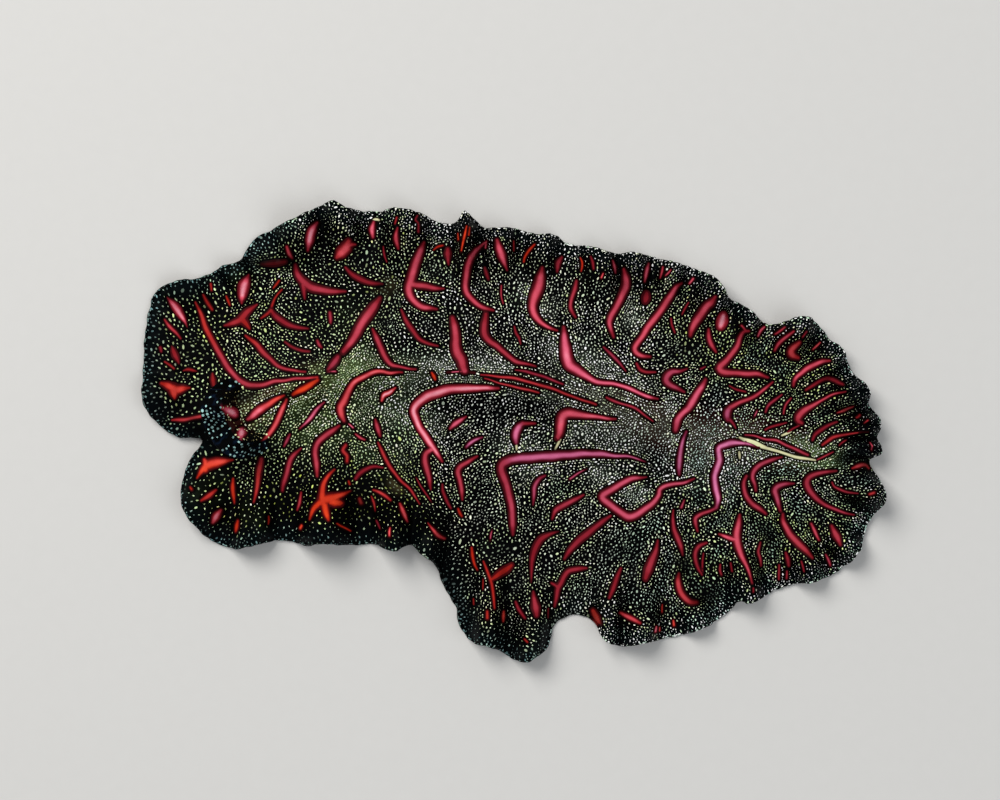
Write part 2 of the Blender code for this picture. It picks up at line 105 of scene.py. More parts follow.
LEFT_FRONT = [(4.6, -21.0), (3.9, -23.2), (1.8, -24.7), (-0.4, -24.5), (-2.2, -23.2),
              (-4.4, -22.7), (-5.8, -21.0), (-6.2, -19.2), (-7.6, -16.6)]
LEFT_SHOULDER = [(-8.4, -14.4), (-9.9, -13.1), (-11.0, -12.3), (-12.6, -12.8), (-14.8, -12.3),
                 (-17.2, -12.4), (-20.0, -12.0), (-22.4, -12.3), (-25.0, -11.8)]
LEFT_LOBE = [(-27.4, -12.2), (-29.8, -12.7), (-32.2, -12.1), (-34.4, -10.0), (-35.7, -7.8),
             (-35.7, -5.2), (-34.9, -2.9)]
MARGIN = ([NOTCH] + RIGHT_LOBE + RIGHT_SHOULDER + RIGHT_FRONT + RIGHT_MIDDLE + RIGHT_REAR
          + RIGHT_TAIL + [TAIL_NOTCH] + LEFT_TAIL + LEFT_REAR + LEFT_MIDDLE + [CAVITY]
          + LEFT_FRONT + LEFT_SHOULDER + LEFT_LOBE)

# Crests of the frill: the inner end, the outer end, the height there and the half width
CRESTS = [
    ((-34.0, 4.0), (-39.5, 3.5), 2.2, 2.2), ((-32.5, 11.0), (-36.0, 16.0), 2.6, 1.8),
    ((-27.0, 14.0), (-30.4, 17.8), 2.4, 1.3), ((-22.0, 16.5), (-23.4, 23.0), 5.0, 2.1),
    ((-18.0, 17.0), (-18.6, 24.4), 4.6, 1.8), ((-11.5, 14.0), (-11.6, 23.8), 3.8, 2.0),
    ((-5.0, 14.0), (-5.1, 23.6), 5.2, 0.95), ((-1.0, 15.0), (-1.4, 21.8), 3.6, 1.4),
    ((2.4, 14.0), (3.4, 21.2), 3.4, 1.3), ((9.8, 11.0), (9.4, 19.6), 3.2, 1.4),
    ((13.0, 12.0), (13.2, 19.2), 3.8, 1.2), ((16.0, 12.0), (17.4, 18.3), 2.8, 1.2),
    ((20.0, 10.0), (22.2, 15.8), 4.4, 1.6), ((25.0, 8.5), (25.6, 13.0), 3.2, 1.1),
    ((29.0, 7.0), (31.0, 12.2), 4.6, 1.7), ((31.0, 4.5), (35.4, 9.0), 3.0, 1.2),
    ((32.0, 2.5), (38.2, 4.6), 3.6, 1.1), ((33.0, 0.0), (39.4, 0.9), 3.2, 1.0),
    ((34.0, -1.6), (39.6, -2.0), 2.4, 0.8), ((33.5, -5.0), (39.8, -6.8), 4.2, 1.5),
    ((33.0, -9.5), (37.0, -13.2), 3.4, 1.4), ((30.0, -10.0), (32.3, -16.1), 3.4, 1.3),
    ((24.5, -11.0), (25.4, -18.2), 4.4, 1.5), ((19.0, -17.0), (20.2, -21.2), 3.0, 1.5),
    ((14.5, -13.0), (13.6, -22.6), 4.8, 1.8), ((10.6, -14.0), (10.2, -22.6), 3.8, 1.2),
    ((2.6, -13.0), (2.0, -24.4), 4.2, 1.5), ((-2.0, -10.0), (-2.8, -22.8), 5.0, 1.5),
    ((-8.0, -7.0), (-9.4, -12.9), 5.6, 1.5), ((-13.0, -5.5), (-12.8, -12.6), 6.2, 1.6),
    ((-20.0, -3.0), (-20.2, -12.0), 6.6, 2.3), ((-27.0, -4.5), (-28.2, -12.3), 4.2, 1.8),
    ((-31.0, -3.8), (-34.4, -8.8), 3.4, 2.4),
]

# The thin crest that runs along the midline
KEEL_HALF_WIDTH = 0.45

# The pseudotentacles, in a frame of their own: forward and to the right from their centre
COLLAR_CENTRE = (-29.0, 1.55)
COLLAR_HEADING = 208.0
FOOT_CENTRE, FOOT_FORWARD, FOOT_SIDE = -1.6, 1.7, 2.6
LIP_FORWARD, LIP_SIDE = 3.8, 4.4
EAR_AT, EAR_SPREAD, EAR_ROUNDNESS = 42.0, 28.0, 2.6
EAR_VALLEY, EAR_END = 1.3, 0.5
EAR_LIP_SHARE = 0.80
EAR_SWEEP = 102.0
EAR_END_RUN = 18.0
CREST_PLACE = 0.38

# Tints of a bar, from orange to mauve and then cream white, and how bright its middle is; a brightness over
# about 1 adds a painted highlight to the middle
ORANGE, SCARLET, RUBY, CRIMSON, ROSE, MAUVE, PALE = -1.0, -0.5, -0.25, 0.0, 0.5, 1.0, 2.0
DULL, DIM, FAIR, BRIGHT, VIVID, PAINTED_HIGHLIGHT = 0.18, 0.4, 0.6, 0.82, 1.0, 1.3

# Bars: tint, brightness, widths in hundredths of a millimetre spread along the bar, and then the
# x and y of each place that it runs through
HEAD_BARS = [
    (-0.3, 1.15, (50, 95, 100, 80), -28.4, 1.35, -27.8, 1.75, -27.1, 2.3, -26.4, 2.85),
    (-0.7, VIVID, (85, 80, 55, 30), -26.6, 2.7, -25.9, 3.1, -25.2, 3.5, -24.4, 3.9),
    (0.3, 1.35, (90, 115, 85), -30.35, 2.4, -30.0, 2.1, -29.75, 1.8),
    (0.4, 1.35, (70, 95, 70), -28.95, 0.2, -28.8, -0.15, -28.75, -0.5),
    (SCARLET, DIM, (50, 70, 50), -31.3, 2.95, -31.0, 2.75, -30.7, 2.5),
    (CRIMSON, DIM, (50, 50, 35), -28.75, -0.8, -28.7, -1.15, -28.6, -1.5),
    (ORANGE, VIVID, (50, 78, 78, 50), -23.5, 3.95, -22.8, 4.35, -21.8, 4.95, -20.8, 5.5),
    (SCARLET, 0.98, (35, 60, 70, 70, 60, 45), -24.2, 3.5, -24.6, 2.6, -25.0, 1.7, -25.5, 0.7, -26.1, -0.2,
     -26.8, -1.2),
    (ROSE, VIVID, (25, 45, 55, 50, 35, 25), -20.2, 3.1, -20.6, 2.8, -21.1, 2.3, -21.6, 1.6, -22.3, 0.8,
     -22.9, 0.3),
    (ROSE, FAIR, (30, 50, 30), -24.0, -0.3, -24.3, -0.9, -24.6, -1.6),
    (0.2, FAIR, (25, 55, 65, 70, 70, 40), -22.8, -1.8, -23.6, -2.6, -24.1, -3.6, -24.45, -4.8, -24.7, -5.8,
     -24.8, -6.4),
    (-0.2, 0.65, (60, 80, 75, 65, 50, 30), -27.1, -3.0, -27.25, -4.0, -27.4, -5.2, -27.6, -6.3, -27.8, -7.6),
    (CRIMSON, 0.7, (40, 75, 80, 80, 75, 40), -18.6, 0.6, -19.3, 0.1, -20.2, -0.5, -21.0, -1.3, -21.3, -2.3,
     -21.15, -3.5, -21.05, -4.8),
    (SCARLET, FAIR, (50, 60, 55, 50), -18.0, -1.5, -18.3, -2.0, -17.85, -2.6, -17.85, -3.3),
]
RIGHT_LOBE_BARS = [
    (0.2, 1.2, (20, 80, 120, 125, 90, 30), -28.4, 16.9, -28.7, 16.2, -28.95, 15.6, -29.1, 15.0, -29.2, 14.4,
     -29.2, 13.8),
    (RUBY, DIM, (35, 30), -32.6, 15.9, -32.5, 15.2),
    (RUBY, DIM, (30, 50, 40), -33.3, 14.7, -32.9, 13.9, -32.4, 13.1),
    (ORANGE, DIM, (25, 40, 25), -30.9, 14.6, -30.7, 14.1, -30.5, 13.6),
    (0.3, 1.15, (12, 60, 100, 105, 75, 40, 10), -37.25, 14.55, -36.9, 14.1, -36.45, 13.55, -36.0, 13.0,
     -35.65, 12.4, -35.35, 11.8, -35.1, 11.2),
    (CRIMSON, 0.65, (30, 50, 45, 30), -37.6, 12.1, -36.9, 11.2, -36.3, 10.6, -35.8, 10.0),
    (RUBY, 0.65, (30, 65, 75, 75, 75, 75, 75, 70, 55, 42, 40, 35), -34.1, 13.9, -33.5, 12.4, -32.9, 10.8,
     -31.7, 8.6, -30.9, 7.2, -30.0, 6.1, -29.0, 5.3, -28.0, 4.9, -26.5, 5.1, -25.0, 5.45, -22.7, 5.72,
     -20.8, 5.8),
    (CRIMSON, 0.6, (30, 85, 105, 75, 30), -27.6, 13.7, -28.6, 12.9, -29.4, 12.0, -30.4, 11.6, -31.1, 11.4),
    (RUBY, DIM, (110, 85, 40), -29.1, 12.0, -28.75, 11.6, -28.35, 11.1),
    (RUBY, DIM, (25, 30, 45), -24.9, 15.3, -25.6, 14.4, -25.95, 13.5),
    (0.3, 0.45, (50, 80, 80, 70, 50, 30), -26.0, 13.1, -25.5, 12.4, -24.9, 11.9, -24.0, 11.45, -22.9, 11.15,
     -22.0, 11.05),
    (RUBY, DIM, (60, 30), -26.0, 13.1, -27.1, 12.2),
    (ORANGE, DIM, (30, 35, 25), -25.2, 16.3, -25.5, 15.8, -25.8, 15.4),
    (RUBY, FAIR, (35, 65, 75, 70, 60, 50, 40, 35, 30), -28.8, 10.3, -27.8, 9.6, -27.0, 8.7, -26.3, 7.95,
     -25.5, 7.3, -24.7, 6.85, -24.0, 6.6, -23.0, 6.5, -22.2, 6.45),
    (RUBY, DIM, (20, 70, 85, 60, 20), -36.8, 9.2, -36.55, 8.6, -36.4, 8.2, -36.2, 7.8, -36.0, 7.3),
    (SCARLET, DIM, (30, 35, 30), -37.5, 7.5, -36.9, 7.1, -36.5, 6.8),
    (SCARLET, DIM, (20, 50, 45, 15), -35.5, 6.5, -35.0, 6.65, -34.5, 6.6, -34.0, 6.5),
    (SCARLET, DIM, (35, 75, 60), -32.3, 6.2, -32.25, 5.6, -32.2, 5.0),
    (-0.7, 0.8, (50, 100, 135, 100, 35), -37.8, 5.2, -36.9, 4.85, -36.3, 4.5, -35.5, 4.65, -34.8, 4.7),
    (-0.7, 0.7, (140, 105, 45), -36.5, 4.6, -36.45, 4.1, -36.4, 3.6),
    (SCARLET, 0.7, (30, 50, 50, 50, 40), -36.7, 1.2, -35.5, 1.3, -34.4, 1.45, -33.5, 1.65, -32.9, 1.85),
    (ROSE, DIM, (45, 35), -38.0, 9.0, -37.9, 8.6),
]
RIGHT_SHOULDER_BARS = [
    (0.2, 1.2, (40, 90, 90, 35), -21.0, 22.5, -21.4, 21.7, -21.7, 20.6, -22.0, 19.4),
    (RUBY, 1.1, (70, 130, 135, 80), -18.9, 18.8, -18.4, 19.3, -17.9, 19.8, -17.6, 20.4),
    (RUBY, DIM, (90, 70, 30), -17.9, 20.0, -17.4, 20.1, -16.9, 20.1),
    (0.3, VIVID, (45, 78, 50), -15.0, 22.6, -15.2, 21.8, -15.1, 21.0),
    (SCARLET, DIM, (30, 25), -12.4, 22.9, -12.6, 22.2),
    (RUBY, 0.75, (30, 70, 35), -12.3, 21.8, -12.5, 20.8, -12.3, 19.6),
    (CRIMSON, BRIGHT, (45, 60, 40), -24.2, 19.8, -24.0, 19.1, -23.7, 18.6),
    (CRIMSON, DULL, (50, 90, 60), -27.0, 18.1, -25.8, 18.1, -24.5, 18.3),
    (0.4, FAIR, (50, 90, 115, 110, 90, 70, 40), -23.4, 17.9, -23.2, 17.0, -22.6, 16.2, -21.8, 15.6,
     -20.5, 15.25, -19.0, 15.1, -18.0, 15.1),
    (0.4, DIM, (80, 60, 30), -22.6, 16.0, -22.5, 15.0, -22.4, 14.3),
    (0.2, DIM, (35, 65, 75, 60, 30), -18.0, 17.7, -17.3, 16.9, -16.3, 16.35, -15.0, 15.95, -14.0, 15.85),
    (CRIMSON, DIM, (20, 30, 20), -13.9, 19.9, -13.8, 19.0, -13.6, 18.3),
    (0.15, 0.75, (60, 115, 130, 125, 120, 100, 80), -14.3, 14.4, -15.2, 13.1, -16.3, 11.5, -16.8, 10.5,
     -17.4, 9.5, -18.1, 8.6),
    (0.4, FAIR, (75, 95, 90, 50), -18.7, 8.0, -19.0, 7.5, -19.4, 7.0, -19.7, 6.7),
    (0.6, FAIR, (45, 50, 35), -19.65, 12.8, -19.6, 12.3, -19.6, 11.7),
    (CRIMSON, 0.85, (40, 80, 100, 110, 120, 110, 95, 80, 70, 40), -9.5, 20.4, -9.8, 19.6, -10.3, 18.4,
     -10.7, 17.2, -11.0, 16.2, -11.2, 15.3, -10.9, 14.4, -10.3, 13.8, -9.4, 13.35, -8.2, 13.2),
    (0.2, 0.65, (90, 80, 70, 30), -10.8, 15.9, -9.8, 15.7, -8.6, 15.5, -7.4, 15.35),
    (0.1, 0.45, (30, 55, 65, 60, 45, 30), -12.0, 13.1, -11.4, 11.9, -10.8, 10.9, -10.0, 9.95, -9.1, 9.5,
     -8.0, 9.15),
    (CRIMSON, DIM, (25, 30, 30, 35), -10.2, 23.2, -10.4, 22.7, -10.1, 22.3, -10.1, 21.4),
]
RIGHT_FRONT_BARS = [
    (ORANGE, DIM, (20, 35, 30), -8.5, 19.6, -8.1, 19.9, -7.5, 20.1),
    (CRIMSON, 0.5, (60, 85, 50, 25), -7.0, 19.7, -7.0, 19.1, -6.95, 18.5, -6.9, 18.0),
    (ORANGE, VIVID, (20, 30, 30, 25), -4.9, 21.9, -5.1, 21.0, -5.3, 20.2, -5.5, 19.3),
    (ORANGE, FAIR, (20, 25), -4.6, 21.8, -4.7, 21.0),
    (ORANGE, BRIGHT, (20, 25), -5.8, 21.2, -5.8, 20.5),
    (0.1, 0.75, (30, 55, 70, 80, 85, 80, 75, 70, 60, 35), -3.0, 20.3, -3.8, 19.6, -4.4, 18.7, -4.8, 17.7,
     -5.0, 16.6, -5.1, 15.6, -4.9, 14.8, -4.3, 14.1, -3.4, 13.5, -2.1, 13.0),
    (CRIMSON, VIVID, (25, 25), -2.8, 20.4, -2.9, 19.8),
    (CRIMSON, VIVID, (50, 90, 100, 60, 30), -1.7, 20.5, -1.5, 19.7, -1.1, 18.8, -0.8, 17.9, -0.6, 17.3),
    (SCARLET, DIM, (20, 25, 20), 0.15, 20.5, 0.15, 20.0, 0.15, 19.5),
    (ORANGE, FAIR, (30, 40, 40, 30), 2.4, 20.1, 1.8, 19.5, 1.3, 18.8, 1.2, 18.3),
    (CRIMSON, DULL, (35, 50, 35), -3.0, 17.6, -2.8, 17.0, -2.6, 16.4),
    (CRIMSON, FAIR, (20, 22, 20), -1.2, 15.8, -1.2, 14.6, -1.0, 13.8),
    (0.2, FAIR, (60, 95, 100, 75, 65, 70, 60, 40, 30), -2.9, 12.7, -3.05, 11.3, -2.95, 10.4, -2.4, 9.7,
     -1.7, 9.2, -1.0, 8.6, -0.3, 7.95, 0.6, 7.45, 2.5, 7.0),
    (0.2, 0.75, (70, 100, 105, 110, 120, 125, 120, 90), -6.5, 12.2, -6.2, 11.0, -6.1, 10.0, -6.1, 9.2,
     -5.9, 8.4, -5.5, 7.7, -5.3, 7.0, -5.1, 6.5),
    (CRIMSON, DIM, (25, 35, 35, 20), 0.2, 11.3, 0.4, 10.6, 0.75, 10.0, 0.9, 9.4),
    (0.1, 0.65, (35, 75, 80, 70, 50, 35, 30), -15.05, 11.0, -14.6, 10.0, -14.1, 9.0, -13.7, 8.1, -13.1, 7.3,
     -12.3, 6.95, -10.3, 6.7),
    (SCARLET, VIVID, (30, 40, 50, 60, 60, 65, 75, 85, 95, 90, 50), -11.8, 6.3, -13.0, 6.3, -14.0, 6.4,
     -15.2, 6.2, -16.2, 5.7, -17.1, 5.1, -17.7, 4.1, -18.1, 3.3, -18.5, 2.6, -18.4, 1.9, -18.05, 1.1),
    (ROSE, BRIGHT, (20, 25), -19.8, 6.4, -18.9, 6.4),
    (SCARLET, PAINTED_HIGHLIGHT, (30, 50, 60, 40), -12.5, 4.7, -13.2, 4.2, -13.8, 3.9, -14.05, 3.3),
    (0.2, 0.7, (35, 60, 60, 35), -14.75, 1.3, -14.6, 0.6, -14.45, 0.0, -14.3, -0.5),
    (ROSE, VIVID, (20, 25), -17.6, 0.8, -17.2, 0.4),
    (CRIMSON, BRIGHT, (25, 35, 25), -16.9, -0.3, -16.4, -0.65, -15.9, -0.9),
    (0.3, 0.3, (30, 45, 40, 30), -24.5, 9.6, -23.6, 9.05, -22.6, 8.7, -21.8, 8.6),
    (ROSE, FAIR, (40, 50, 30), -21.0, 9.8, -20.8, 9.4, -20.5, 9.05),
]
MIDLINE_BARS = [
    (SCARLET, FAIR, (20, 35, 40, 40, 40, 35, 35, 30), -3.4, 6.1, -1.5, 5.9, 0.5, 5.65, 2.5, 5.1, 4.0, 4.7,
     6.0, 3.9, 7.5, 3.4, 8.9, 2.9),
    (ROSE, 0.5, (20, 35, 35, 35, 25), 0.3, 6.6, 1.5, 6.4, 2.8, 6.05, 4.0, 5.6, 5.4, 5.1),
    (SCARLET, 0.7, (20, 25, 30, 35, 25), -3.0, 5.7, -1.2, 5.15, 0.5, 4.75, 1.6, 4.45, 2.8, 4.2),
    (ROSE, VIVID, (15, 20, 15), -7.0, 6.35, -5.6, 6.45, -4.0, 6.3),
    (ORANGE, BRIGHT, (35, 50, 35), -8.6, 6.3, -8.4, 5.95, -8.25, 5.6),
    (-0.15, 1.2, (40, 60, 80, 90, 100, 105, 110, 110, 100, 90, 85, 85, 80, 60, 40), -1.5, 4.65, -3.0, 4.65,
     -5.0, 4.6, -6.5, 4.55, -8.0, 4.2, -9.3, 3.7, -10.2, 3.0, -10.6, 2.2, -10.4, 1.3, -10.0, 0.4,
     -9.5, -0.3, -8.9, -1.3, -8.3, -2.1, -7.6, -3.2),
    (CRIMSON, 0.65, (60, 80, 85, 80, 70, 60, 30), -8.7, -2.0, -9.3, -2.4, -9.45, -3.2, -9.25, -4.2,
     -8.95, -5.2, -8.8, -6.2),
    (0.4, 0.9, (25, 55, 68, 40), -5.0, 1.6, -5.6, 1.2, -6.2, 0.8, -6.7, 0.3),
    (MAUVE, 0.85, (25, 40, 52, 35), -3.3, -0.6, -4.0, -0.9, -4.6, -1.3, -5.0, -1.7),
    (CRIMSON, DIM, (35, 45, 60), 2.4, 0.85, 1.8, 0.85, 1.2, 0.85),
    (0.7, VIVID, (60, 95, 100, 90, 60), 1.1, 0.9, 0.7, 0.45, 0.4, -0.1, 0.3, -0.7, 0.35, -1.2),
    (0.1, 0.95, (30, 40, 50, 60, 75, 95, 115, 125, 120, 110, 80), 11.0, 1.35, 9.5, 1.5, 8.0, 1.7, 6.8, 1.85,
     5.9, 1.95, 5.35, 1.6, 5.2, 0.9, 5.15, 0.3, 5.1, -0.2, 4.9, -0.7),
    (0.3, FAIR, (30, 40, 30, 35, 35, 30, 20), 10.0, 3.7, 11.2, 3.15, 12.4, 2.8, 13.4, 2.3, 14.3, 1.6,
     15.0, 1.1),
    (0.8, BRIGHT, (15, 30, 50, 70, 85, 95, 105, 110, 110, 110), 14.4, -3.3, 12.8, -2.75, 11.0, -2.6,
     9.0, -2.4, 7.0, -2.45, 5.0, -2.6, 3.0, -2.75, 1.0, -2.9, -0.2, -3.05),
    (0.35, 0.65, (110, 115, 110, 100, 95, 90, 90, 75, 35), -0.2, -3.05, -1.0, -3.5, -1.2, -4.1, -0.95, -5.0,
     -0.7, -5.8, -0.35, -7.0, -0.1, -8.2, 0.0, -9.6, 0.05, -11.2),
    (0.2, 0.7, (35, 60, 70, 78, 70, 60, 30), -3.8, -2.75, -4.7, -3.2, -5.55, -3.75, -5.9, -4.4, -5.7, -5.3,
     -5.5, -6.3, -5.4, -7.4),
    (CRIMSON, 0.35, (25, 45, 50, 35), -7.55, -5.7, -7.5, -6.5, -7.1, -7.4, -6.65, -8.3),
    (CRIMSON, DIM, (15, 25, 28, 15), -10.4, -5.0, -10.0, -5.8, -9.4, -6.6, -8.8, -7.6),
    (0.6, 0.65, (30, 55, 60, 45, 20), 3.5, -4.8, 2.9, -5.1, 2.4, -5.9, 2.3, -6.8, 2.2, -8.0),
    (0.6, 0.7, (15, 28, 28), 8.0, -4.1, 7.1, -4.5, 6.2, -5.15),
    (0.3, FAIR, (35, 60, 70, 60, 30), 7.6, -6.85, 6.5, -7.5, 5.3, -8.1, 4.6, -8.6, 4.25, -9.5),
    (0.4, BRIGHT, (25, 55, 75, 80, 85, 100, 95, 85, 95, 100, 95, 85, 80, 65, 60, 55, 50, 45, 30),
     14.4, -4.9, 13.0, -5.1, 12.0, -5.5, 11.0, -6.1, 10.1, -6.6, 9.75, -6.95, 9.95, -7.45, 10.8, -8.1,
     11.7, -8.8, 12.5, -9.2, 13.4, -9.0, 14.4, -8.3, 15.3, -7.6, 15.8, -6.9, 15.9, -6.3, 16.4, -5.9,
     17.3, -5.7, 18.4, -5.5, 19.6, -5.1),
    (0.3, 0.5, (35, 70, 80, 90, 90, 70, 35), 10.6, -9.1, 9.4, -10.0, 8.3, -10.9, 7.3, -11.7, 6.4, -12.6,
     5.6, -13.8),
]
RIGHT_MIDDLE_BARS = [
    (0.1, 0.9, (50, 110, 135, 130, 110, 90, 70, 50, 30), 3.2, 17.6, 3.0, 16.6, 2.8, 15.6, 2.4, 14.5,
     2.2, 13.5, 2.4, 12.6, 3.0, 11.8, 3.8, 11.3, 4.8, 10.9),
    (0.4, 1.0, (50, 90, 120, 140, 140, 120, 85, 65, 55, 55, 50, 50, 50, 45, 30), 5.5, 11.2, 5.6, 10.1,
     5.7, 9.0, 5.8, 8.0, 6.2, 7.1, 6.9, 6.6, 7.8, 6.0, 8.8, 5.4, 9.8, 5.2, 11.0, 5.1, 12.0, 4.8, 13.0, 4.4,
     14.3, 3.8, 15.6, 3.5),
    (CRIMSON, FAIR, (40, 75, 60, 30), 5.3, 18.8, 4.95, 18.3, 4.85, 17.7, 4.8, 17.2),
    (ORANGE, FAIR, (20, 30, 30, 20), 7.3, 18.8, 7.5, 18.3, 7.5, 17.8, 7.4, 17.3),
    (CRIMSON, DIM, (25, 40, 30), 8.4, 18.7, 8.6, 18.1, 8.7, 17.4),
    (SCARLET, VIVID, (20, 25), 9.7, 17.0, 9.5, 16.5),
    (0.1, 0.65, (40, 65, 60, 50, 50, 30), 6.9, 16.2, 6.7, 15.3, 6.4, 14.4, 6.3, 13.5, 6.5, 12.8, 6.8, 12.3),
    (CRIMSON, VIVID, (30, 55, 35), 10.8, 18.3, 11.0, 17.7, 11.1, 17.1),
    (0.3, 0.75, (35, 80, 100, 95, 90, 85, 80, 60, 45), 12.0, 17.5, 12.2, 16.6, 12.2, 15.7, 11.8, 14.7,
     11.3, 13.6, 10.7, 12.5, 10.45, 11.7, 10.6, 11.0, 10.9, 10.2),
    (CRIMSON, VIVID, (35, 65, 60, 35), 14.7, 18.1, 14.45, 17.4, 14.3, 16.8, 14.2, 16.1),
    (CRIMSON, DIM, (80, 110, 80), 14.5, 14.9, 14.4, 14.4, 14.3, 14.0),
    (CRIMSON, 0.7, (25, 30, 20), 16.2, 17.7, 16.1, 17.2, 15.9, 16.5),
    (CRIMSON, BRIGHT, (20, 30, 20), 17.0, 17.4, 16.7, 17.0, 16.4, 16.7),
    (0.1, 0.85, (30, 70, 85, 90, 90, 90, 90, 85, 85, 80, 80, 75, 60, 40), 18.3, 16.0, 17.6, 15.5,
     17.1, 14.7, 16.6, 13.9, 15.9, 12.9, 15.2, 12.0, 14.6, 11.2, 14.0, 10.3, 13.4, 9.5, 13.15, 8.95,
     13.35, 8.5, 14.0, 8.15, 14.8, 8.0),
    (0.5, FAIR, (25, 40, 45, 35, 20), 9.8, 9.1, 10.5, 8.4, 11.2, 7.7, 11.8, 7.0, 12.2, 6.5),
    (CRIMSON, 0.5, (35, 45, 40, 30), 13.4, 7.3, 13.7, 6.7, 14.4, 6.4, 15.4, 6.4),
]
RIGHT_REAR_BARS = [
    (CRIMSON, VIVID, (35, 30), 19.5, 16.5, 19.1, 16.0),
    (CRIMSON, DIM, (20, 28, 20), 19.0, 13.9, 18.6, 13.2, 18.3, 12.6),
    (CRIMSON, DIM, (25, 30, 25), 17.1, 12.2, 17.2, 11.4, 17.5, 10.6),
    (CRIMSON, 0.8, (45, 100, 110, 110, 100, 80, 50), 21.7, 14.4, 21.3, 13.8, 20.8, 13.4, 20.3, 12.7,
     19.8, 11.8, 19.4, 11.0, 19.2, 10.3),
    (0.1, 1.5, (115, 145, 115), 22.7, 12.4, 22.6, 11.9, 22.5, 11.4),
    (0.1, 0.65, (40, 65, 65, 35), 21.1, 11.0, 21.2, 10.1, 21.5, 9.3, 21.9, 8.6),
    (0.2, 0.72, (35, 55, 65, 70, 75, 80, 90, 95, 90, 75, 75, 75, 70, 60, 40), 25.4, 10.8, 24.8, 10.7,
     24.5, 10.1, 24.3, 9.3, 23.8, 8.5, 23.1, 7.7, 22.5, 7.1, 22.3, 6.75, 22.6, 6.45, 23.5, 6.3, 24.6, 6.25,
     25.5, 6.2, 26.5, 6.15, 27.5, 5.85),
    (CRIMSON, FAIR, (30, 30), 24.55, 11.4, 25.0, 10.9),
    (CRIMSON, VIVID, (35, 45, 35), 27.2, 11.3, 26.8, 10.9, 26.5, 10.3),
    (CRIMSON, FAIR, (25, 30, 25), 29.2, 11.2, 28.7, 10.8, 28.3, 10.5),
    (CRIMSON, 0.7, (35, 50, 50, 35), 30.0, 10.7, 29.2, 10.1, 28.7, 9.5, 28.3, 8.7),
    (SCARLET, BRIGHT, (60, 95, 90, 50), 30.7, 9.5, 29.95, 8.75, 30.15, 8.15, 30.8, 7.9),
    (ROSE, DIM, (20, 28), 20.8, 7.0, 20.3, 6.75),
    (0.5, 0.65, (25, 45, 65, 90, 95, 75, 55, 35), 18.8, 6.75, 18.0, 6.5, 17.2, 6.4, 16.65, 6.0, 16.55, 5.45,
     17.1, 4.9, 17.8, 4.6, 18.5, 4.3),
    (0.4, 0.85, (45, 70, 80, 90, 100, 85, 75, 85, 90, 70), 20.8, 5.6, 20.4, 4.9, 19.9, 4.1, 19.4, 3.3,
     18.9, 2.55, 18.2, 1.95, 17.7, 1.3, 17.5, 0.6, 17.4, 0.2),
    (0.9, 0.85, (35, 45, 60, 70, 75, 65, 35), 18.55, -0.05, 18.3, -0.8, 18.1, -1.8, 17.95, -2.8, 17.9, -3.8,
     17.95, -4.65),
    (CRIMSON, 0.25, (20, 32, 25), 23.4, 4.95, 24.2, 4.5, 25.1, 4.25),
    (0.2, 0.7, (30, 40, 50, 50, 55, 70), 28.0, 5.3, 27.2, 4.6, 26.3, 3.95, 25.3, 3.45, 24.2, 3.0, 23.4, 2.6),
    (0.8, 0.75, (60, 95, 100, 60), 23.4, 2.6, 23.1, 2.1, 23.05, 1.6, 23.1, 1.25),
    (0.4, DIM, (50, 35, 20), 23.4, 1.2, 23.7, 0.8, 23.9, 0.35),
    (0.4, 0.5, (25, 40, 40, 30), 29.0, 3.95, 28.1, 3.3, 27.5, 2.7, 27.2, 2.1),
    (CRIMSON, FAIR, (20, 30, 30, 25), 30.0, 3.6, 29.4, 2.9, 29.2, 2.3, 29.15, 1.9),
    (CRIMSON, DIM, (20, 30, 30, 25), 29.4, 0.95, 28.5, 0.75, 27.5, 0.4, 27.1, 0.2),
    (CRIMSON, DIM, (20, 28, 20), 30.8, 0.65, 30.1, 0.3, 29.5, -0.05),
    (ROSE, BRIGHT, (15, 20, 15), 26.3, 2.3, 26.1, 1.9, 25.9, 1.5),
    (0.3, 0.65, (20, 30, 35, 38, 40, 42, 38), 24.9, -0.35, 26.0, -0.5, 27.0, -0.78, 28.3, -1.0, 29.5, -1.5,
     30.7, -2.1, 31.7, -2.5),
]
